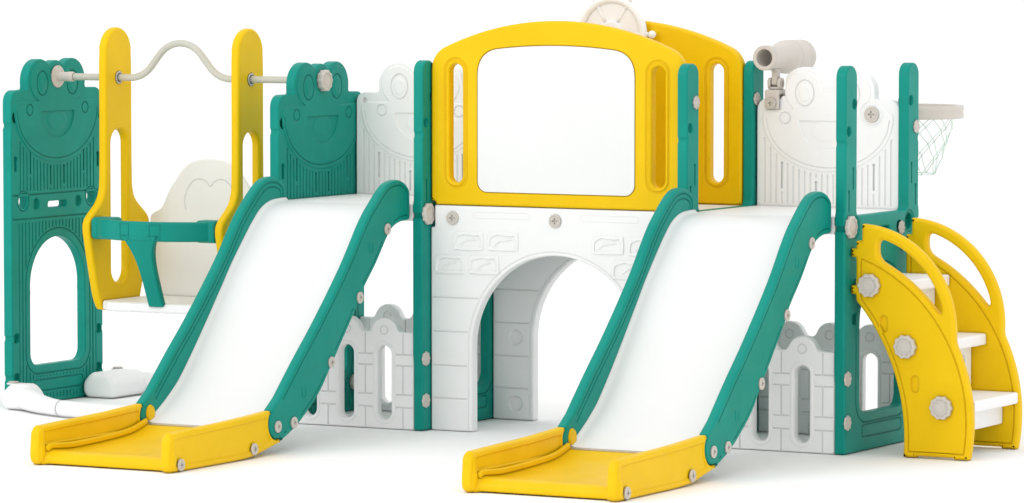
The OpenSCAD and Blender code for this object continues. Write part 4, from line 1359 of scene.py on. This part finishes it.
sb = Geo()
for c in (LC, RC):
    for y, z in bolts_at:
        sb.add(cap_at("cross", 17, 5, (c + SLW / 2, y, z), "+x"),
               cap_at("cross", 17, 5, (c - SLW / 2, y, z), "-x"))
        sb.add(rod("x", (c - SLW / 2 + 32, y, z), 6, SLW - 64))
    y, z = seam_bolt
    sb.add(cap_at("cross", 17, 5, (c + SLW / 2, y, z), "+x"),
           cap_at("cross", 17, 5, (c - SLW / 2, y, z), "-x"))
emit("slide_bolt_set", sb, SAND, ["slide_bolts"])

pc = Geo()
for x in (0, DX):
    for z in (90, 215):
        pc.add(cap_at("rose", 22, 6, (x + PT, 15, z), "+x"))
for y in (53, PW - 53):
    pc.add(cap_at("rose", 20, 6, (EX + PT, y, 988), "+x"))
pc.add(cap_at("rose", 20, 6, (DX + PT, PW - 24, 914), "+x"),
       cap_at("rose", 20, 6, (DX + PT, 381, 626), "+x"))
emit("panel_cap_set", pc, SAND, ["panel_caps"])

cross_set = Geo()
for x in (PT + 76, TC, EX - 76):
    cross_set.add(cap_at("cross", 20, 5, (x, 46, 634), "-y"),
                  cap_at("cross", 20, 5, (x, PW - 46, 634), "+y"))
cross_set.add(cap_at("cross", 23, 6, (HX, 445, 948), "-y"), cap_at("cross", 16, 6, (SCX, 433, 976), "-y"))
RAILX = AX + PT + SWL / 2
for x in (RAILX - SWL / 2 + 30, RAILX + SWL / 2 - 30):
    for y in (-38, PW + 38):
        cross_set.add(cap_at("cross", 16, 5, (x, y, 82), "+z"))
emit("cross_bolt_set", cross_set, SAND, ["cross_bolts"])

pk = Geo()
for x in (0, DX):
    pk.add(cap_at("lobe", 33, 12, (x + PT, 27, 645), "+x"))
pk.add(cap_at("cross", 24, 12, (BX + PT, PW - 70, 90), "+x"))
emit("panel_knob_set", pk, SAND, ["panel_knobs"])

knob_set = Geo()
for u, z in knobs_at:
    knob_set.add(cap_at("lobe", 34, 16, (S0 + u, 30, z), "-y"),
                 cap_at("cross", 24, 8, (S0 + u, 407, z), "+y"))
emit("stair_knob_set", knob_set, SAND, ["stair_knobs"])

bn = Geo().add(cap_at("lobe", 34, 20, (AX, YB, ZB), "-x"), cap_at("lobe", 34, 20, (BX + PT, YB, ZB), "+x"))
emit("bar_nut_set", bn, SAND, ["bar_nuts"])

# ---------------------------------------------------------------- rails under the swing
sag = 157.0                                # how far a rail bows out
rh = SWL / 2 - 66
rr = (rh ** 2 + sag ** 2) / (2 * sag)
ra = math.degrees(math.asin(rh / rr))


def rail_pt(deg, z):
    a = math.radians(deg)
    return (rr * math.cos(a), rr * math.sin(a) + rr - sag - 38, z)


def floor_rail(foot_y):
    """a bowed tube that swells into a foot at each end; the feet reach to foot_y"""
    g = orient(sweep([rail_pt(deg, 27.0) for deg in np.linspace(270 - ra, 270 + ra, 49)],
                     circle_section(24.9, 32)))
    f = suni(14, box2(0, 0, 128, 66, 27), box2(18, 20, 110, 82, 24))
    foot = plate(f, (-2, -2, 130, 84), -74, foot_y, "y", r=(24, 20), h=2.5, sigma=3.0, seg=8)
    line = Feat(ring(circ(0, 0, 18.5), 0, 0.8), around(0, 0, 22), 0.8, 1.2, h=1.2, sigma=0.4)
    bolt_seat = plate(circ(0, 0, 21), around(0, 0, 23), 78.5, 81.9, "z", r=(0.5, 1.6), sigma=1.0, seg=4,
                      front=[line])
    for s in (-1, 1):
        neck = []
        for q in np.linspace(0.0, 1.0, 20):
            neck.append(rail_pt(270 + s * (ra - 26 * (1 - q)), 27 + 11.6 * q * q * (3 - 2 * q)))
        g.add(orient(sweep(neck, lambda k: circle_section(24.9 + 11.2 * k * k * (3 - 2 * k), 32))))
        g.add(foot.moved((s * rh - 64, 0, 0)), bolt_seat.moved((s * (SWL / 2 - 30), -38, 0)))
    return g


emit("floor_rail_front", floor_rail(-2).moved((RAILX, 0, 0)), WHITE, ["rail_front"])
emit("floor_rail_back", floor_rail(128).flipped(1, 0).moved((RAILX, PW, 0)), WHITE, ["rail_back"])

# ---------------------------------------------------------------- telescope
# the telescope's profile: outside from the eye end to the front, then back along the bore
tube = [(25, 2), (27, 0), (35.2, 0), (37, 1.8), (37, 10), (36.2, 11), (36.2, 13), (37, 14), (37, 23.5),
        (35.5, 27), (34.2, 30), (34, 34), (34, 88), (35, 95), (38, 104), (44.5, 122), (48, 132), (49.6, 141),
        (50, 150), (50, 160), (48.8, 161.5), (48.8, 165), (50, 166.5), (50, 228), (48.8, 229.5),
        (48.8, 232.5),
        (50, 234), (50, 254), (48.6, 257), (45, 257), (43.2, 255), (43, 152), (40.5, 141), (25.4, 112),
        (25, 108)]
tb = orient(lathe(tube, (SCX, SCY - 81, 1110), "y", 72))
stemf = suni(8, box2(SCY - 10.5, 1034, SCY + 10.5, 1079, 1), circ(SCY, 1034, 11.8),
             box2(SCY - 26, 1072, SCY + 30, 1080, 2))
lug = sub(stemf, circ(SCY, 1034, 6.4))
tb.add(plate(lug, (SCY - 30, 1020, SCY + 34, 1084), SCX - 10, SCX + 10, "x", r=(3, 3), h=1.5, sigma=1.2))
emit("telescope_tube", tb, SAND, ["scope_barrel"], "scope")

yk = Geo()
for s in (-1, 1):
    ear = box2(SCY - 17, 1016.8, SCY + 17, 1050.6, 12)
    ear = plate(ear, (SCY - 20, 1012, SCY + 20, 1054), 0, 10, "x", r=(3, 3), h=1.5, sigma=1.2)
    yk.add(ear.moved((SCX + s * 15.6 - 5, 0, 0)))
    yk.add(cap_at("cross", 9.5, 2.5, (SCX + s * 20.4, SCY, 1034), "+x" if s > 0 else "-x"))
yk.add(plate(circ(0, 0, 22), (-25, -25, 25, 25), 1016.8, 1024, "z", r=(1, 1.5),
             sigma=1.0).moved((SCX, SCY, 0)))
yk.add(rod("x", (SCX - 18, SCY, 1034), 6, 36, 28))
emit("telescope_fork", yk, SAND, ["scope_yoke"], "yoke")

cf = sub(box2(433.2, 958, 496.8, 1016, 7), box2(444.6, 930, 485.4, 1001, 2))
cl = plate(cf, (430, 955, 500, 1018), SCX - 23, SCX + 23, "x", r=(5, 5), h=1.5, sigma=1.2, seg=5)
emit("telescope_clamp", cl, SAND, ["scope_clamp"])

# ---------------------------------------------------------------- steering wheel
WY, WZ = 403.0, 1175.0
wg = Geo()
ta = np.linspace(0, 2 * np.pi, 20, endpoint=False)
wg.add(orient(lathe([(104 + 12 * math.cos(t), 12 * math.sin(t)) for t in ta], (TC, WY, WZ), "y", 96)))
# the hub and the thin web between the hub and the ring
web = [(8.6, -13), (11, -14), (34, -14), (38.6, -12.4), (40, -9), (41, -6), (45, -4), (60, -3.2), (80, -2.2),
       (97, -2.6), (97, 2.6), (80, 3.0), (60, 2.4), (45, 4), (41, 6), (40, 9), (38.6, 12.4), (34, 14),
       (11, 14),
       (8.6, 13)]
wg.add(orient(lathe(web, (TC, WY, WZ), "y", 96)))


def ball(r, reach, n):
    """a ball's profile, cut flat near its poles at the angle reach"""
    return [(0.01, -r)] + [(r * math.cos(a), r * math.sin(a)) for a in np.linspace(-reach, reach,
                                                                                   n)] + [(0.01, r)]


def spoke_sec(k):
    radius = np.interp(k, [0, 0.277, 0.66, 0.894, 1.0], (7.2, 6.4, 6.4, 7.6, 8.6))
    return circle_section(float(radius), 18)


for k in range(6):
    a = math.radians(60 * k)
    d = np.array([math.cos(a), 0, math.sin(a)])
    hub = np.array([TC, WY, WZ])
    wg.add(orient(sweep([hub + d * q for q in (34, 60, 96, 118, 128)], spoke_sec, up=(0, 1, 0))))
    wg.add(orient(lathe(ball(11.9, 1.35, 13), tuple(hub + d * 134), "y", 24)))
emit("steering_wheel", wg, WHITE, ["wheel"], "wheel")
pin = [(0.01, 4.2), (7.9, 4.2), (7.9, 60), (6.8, 62), (0.01, 62)]
head = [(0.01, -3.9), (12, -3.7), (15.6, -2.6), (17, -0.4), (17, 2.2), (16, 2.45), (0.01, 2.45)]
washer = [(7.9, 31.6), (16.2, 31.6), (17, 32.4), (17, 36.6), (16.2, 37.3), (7.9, 37.3)]
ax = Geo()
for profile, n in ((pin, 28), (head, 40), (washer, 40)):
    ax.add(orient(lathe(profile, (TC, 386, WZ), "y", n)))
emit("wheel_pin", ax, SAND, ["wheel_axle"])

# ---------------------------------------------------------------- hoop and net
rim = [(145, 932), (147, 930), (162.5, 930), (165, 932.5), (165, 943), (163.8, 945), (163.8, 953),
       (165, 955),
       (165, 965), (162.8, 968), (147.2, 968), (145, 966)]
hg = orient(lathe(rim, (HX, HY, 0), "z", 128))
brk = sub(box2(HX - 40, 485.6, HX + 40, 556, 6), circ(HX, HY, 148))
well = Feat(box2(HX - 26, 496, HX + 26, 528, 6), (HX - 30, 490, HX + 30, 532), 1.6, 3.0, h=1.6, sigma=0.8)
hg.add(plate(brk, (HX - 42, 483, HX + 42, 558), 920, 976, "z", r=(5, 5), sigma=1.6, seg=5, front=[well]))
emit("hoop_ring", hg, SAND, ["hoop_rim"])

net_rows = [(141.5, 938), (131.5, 898), (119.0, 858), (103.0, 814), (83.2, 765)]   # radius and height
NN = 10                                                                            # strands each way
ng = Geo()


def net_pt(k, i):
    a = 2 * math.pi * (i + 0.5 * (k % 2)) / NN
    r, z = net_rows[k]
    return np.array([HX + r * math.cos(a), HY + r * math.sin(a), z])


def strand(p, q, r0=1.35):
    """a thin cord from p to q, bent a little towards the net's middle"""
    mid = (p + q) / 2
    away = mid - np.array([HX, HY, mid[2]])
    away /= np.linalg.norm(away) + 1e-9
    path = []
    for t in np.linspace(0, 1, 6):
        path.append(p * (1 - t) + q * t - away * (4 * t * (1 - t)) * 1.6)
    return orient(sweep(np.array(path), circle_section(r0, 8), up=(0.3, 0.2, 1)))


for k in range(len(net_rows) - 1):
    for i in range(NN):
        p = net_pt(k, i)
        ng.add(strand(p, net_pt(k + 1, i)), strand(p, net_pt(k + 1, i + (1 if k % 2 else -1))))
for k in range(len(net_rows)):
    for i in range(NN):
        ng.add(orient(lathe(ball(2.5 if k else 2.2, 1.2, 5), tuple(net_pt(k, i)), "z", 8)))
for i in range(NN):
    ng.add(strand(net_pt(4, i), net_pt(4, i + 1), 1.2))
emit("hoop_net_cords", ng, CORD, ["hoop_net"])

# ---------------------------------------------------------------- stage, light, camera
world = bpy.data.worlds.new("studio_world")
bpy.context.scene.world = world
world.use_nodes = True
bg = world.node_tree.nodes["Background"]
bg.inputs["Color"].default_value = (1.0, 1.0, 1.0, 1.0)
bg.inputs["Strength"].default_value = 1.10

fm = bpy.data.meshes.new("studio_floor")
R = 40.0
fm.from_pydata([(-R, -R, -0.001), (R, -R, -0.001), (R, R, -0.001), (-R, R, -0.001)], [], [(0, 1, 2, 3)])
floor = bpy.data.objects.new("studio_floor", fm)
bpy.context.scene.collection.objects.link(floor)
mt = bpy.data.materials.new("studio_floor")
mt.use_nodes = True
nt = mt.node_tree
bs = nt.nodes.get("Principled BSDF")
nz = nt.nodes.new("ShaderNodeTexNoise")
nz.inputs["Scale"].default_value = 3.0
span = nt.nodes.new("ShaderNodeMapRange")
span.inputs["To Min"].default_value = 0.965
span.inputs["To Max"].default_value = 0.98
grey = nt.nodes.new("ShaderNodeCombineColor")
nt.links.new(nz.outputs[0], span.inputs["Value"])
for k in range(3):
    nt.links.new(span.outputs[0], grey.inputs[k])
nt.links.new(grey.outputs[0], bs.inputs["Base Color"])
bs.inputs["Roughness"].default_value = 0.9
bs.inputs["Specular IOR Level"].default_value = 0.1
fm.materials.append(mt)


def area(name, loc, target, size, power):
    ld = bpy.data.lights.new(name, "AREA")
    ld.shape = "RECTANGLE"
    ld.size, ld.size_y = size
    ld.energy = power
    lo = bpy.data.objects.new(name, ld)
    bpy.context.scene.collection.objects.link(lo)
    lo.location = loc
    dv = Vector(target) - Vector(loc)
    lo.rotation_euler = dv.to_track_quat("-Z", "Y").to_euler()
    return lo


area("key", (-3.0, -7.5, 4.5), (0.2, 0.2, 0.5), (3.5, 3.0), 125)
area("front", (5.0, -11.0, 2.2), (0.0, 0.2, 0.5), (6.0, 4.0), 60)
area("top", (0.5, 0.5, 6.0), (0.3, 0.2, 0.5), (5.0, 5.0), 20)

cd = bpy.data.cameras.new("camera_main")
cam = bpy.data.objects.new("camera_main", cd)
bpy.context.scene.collection.objects.link(cam)
cd.lens = 163.30
cd.sensor_width = 36.0
cd.clip_start = 0.1
cd.clip_end = 200.0
cam.location = (6.75035, -11.66421, 1.41944)
cam.rotation_euler = (math.radians(86.312), 0.0, math.radians(28.872))
bpy.context.scene.camera = cam
bpy.context.scene.view_settings.view_transform = "Standard"
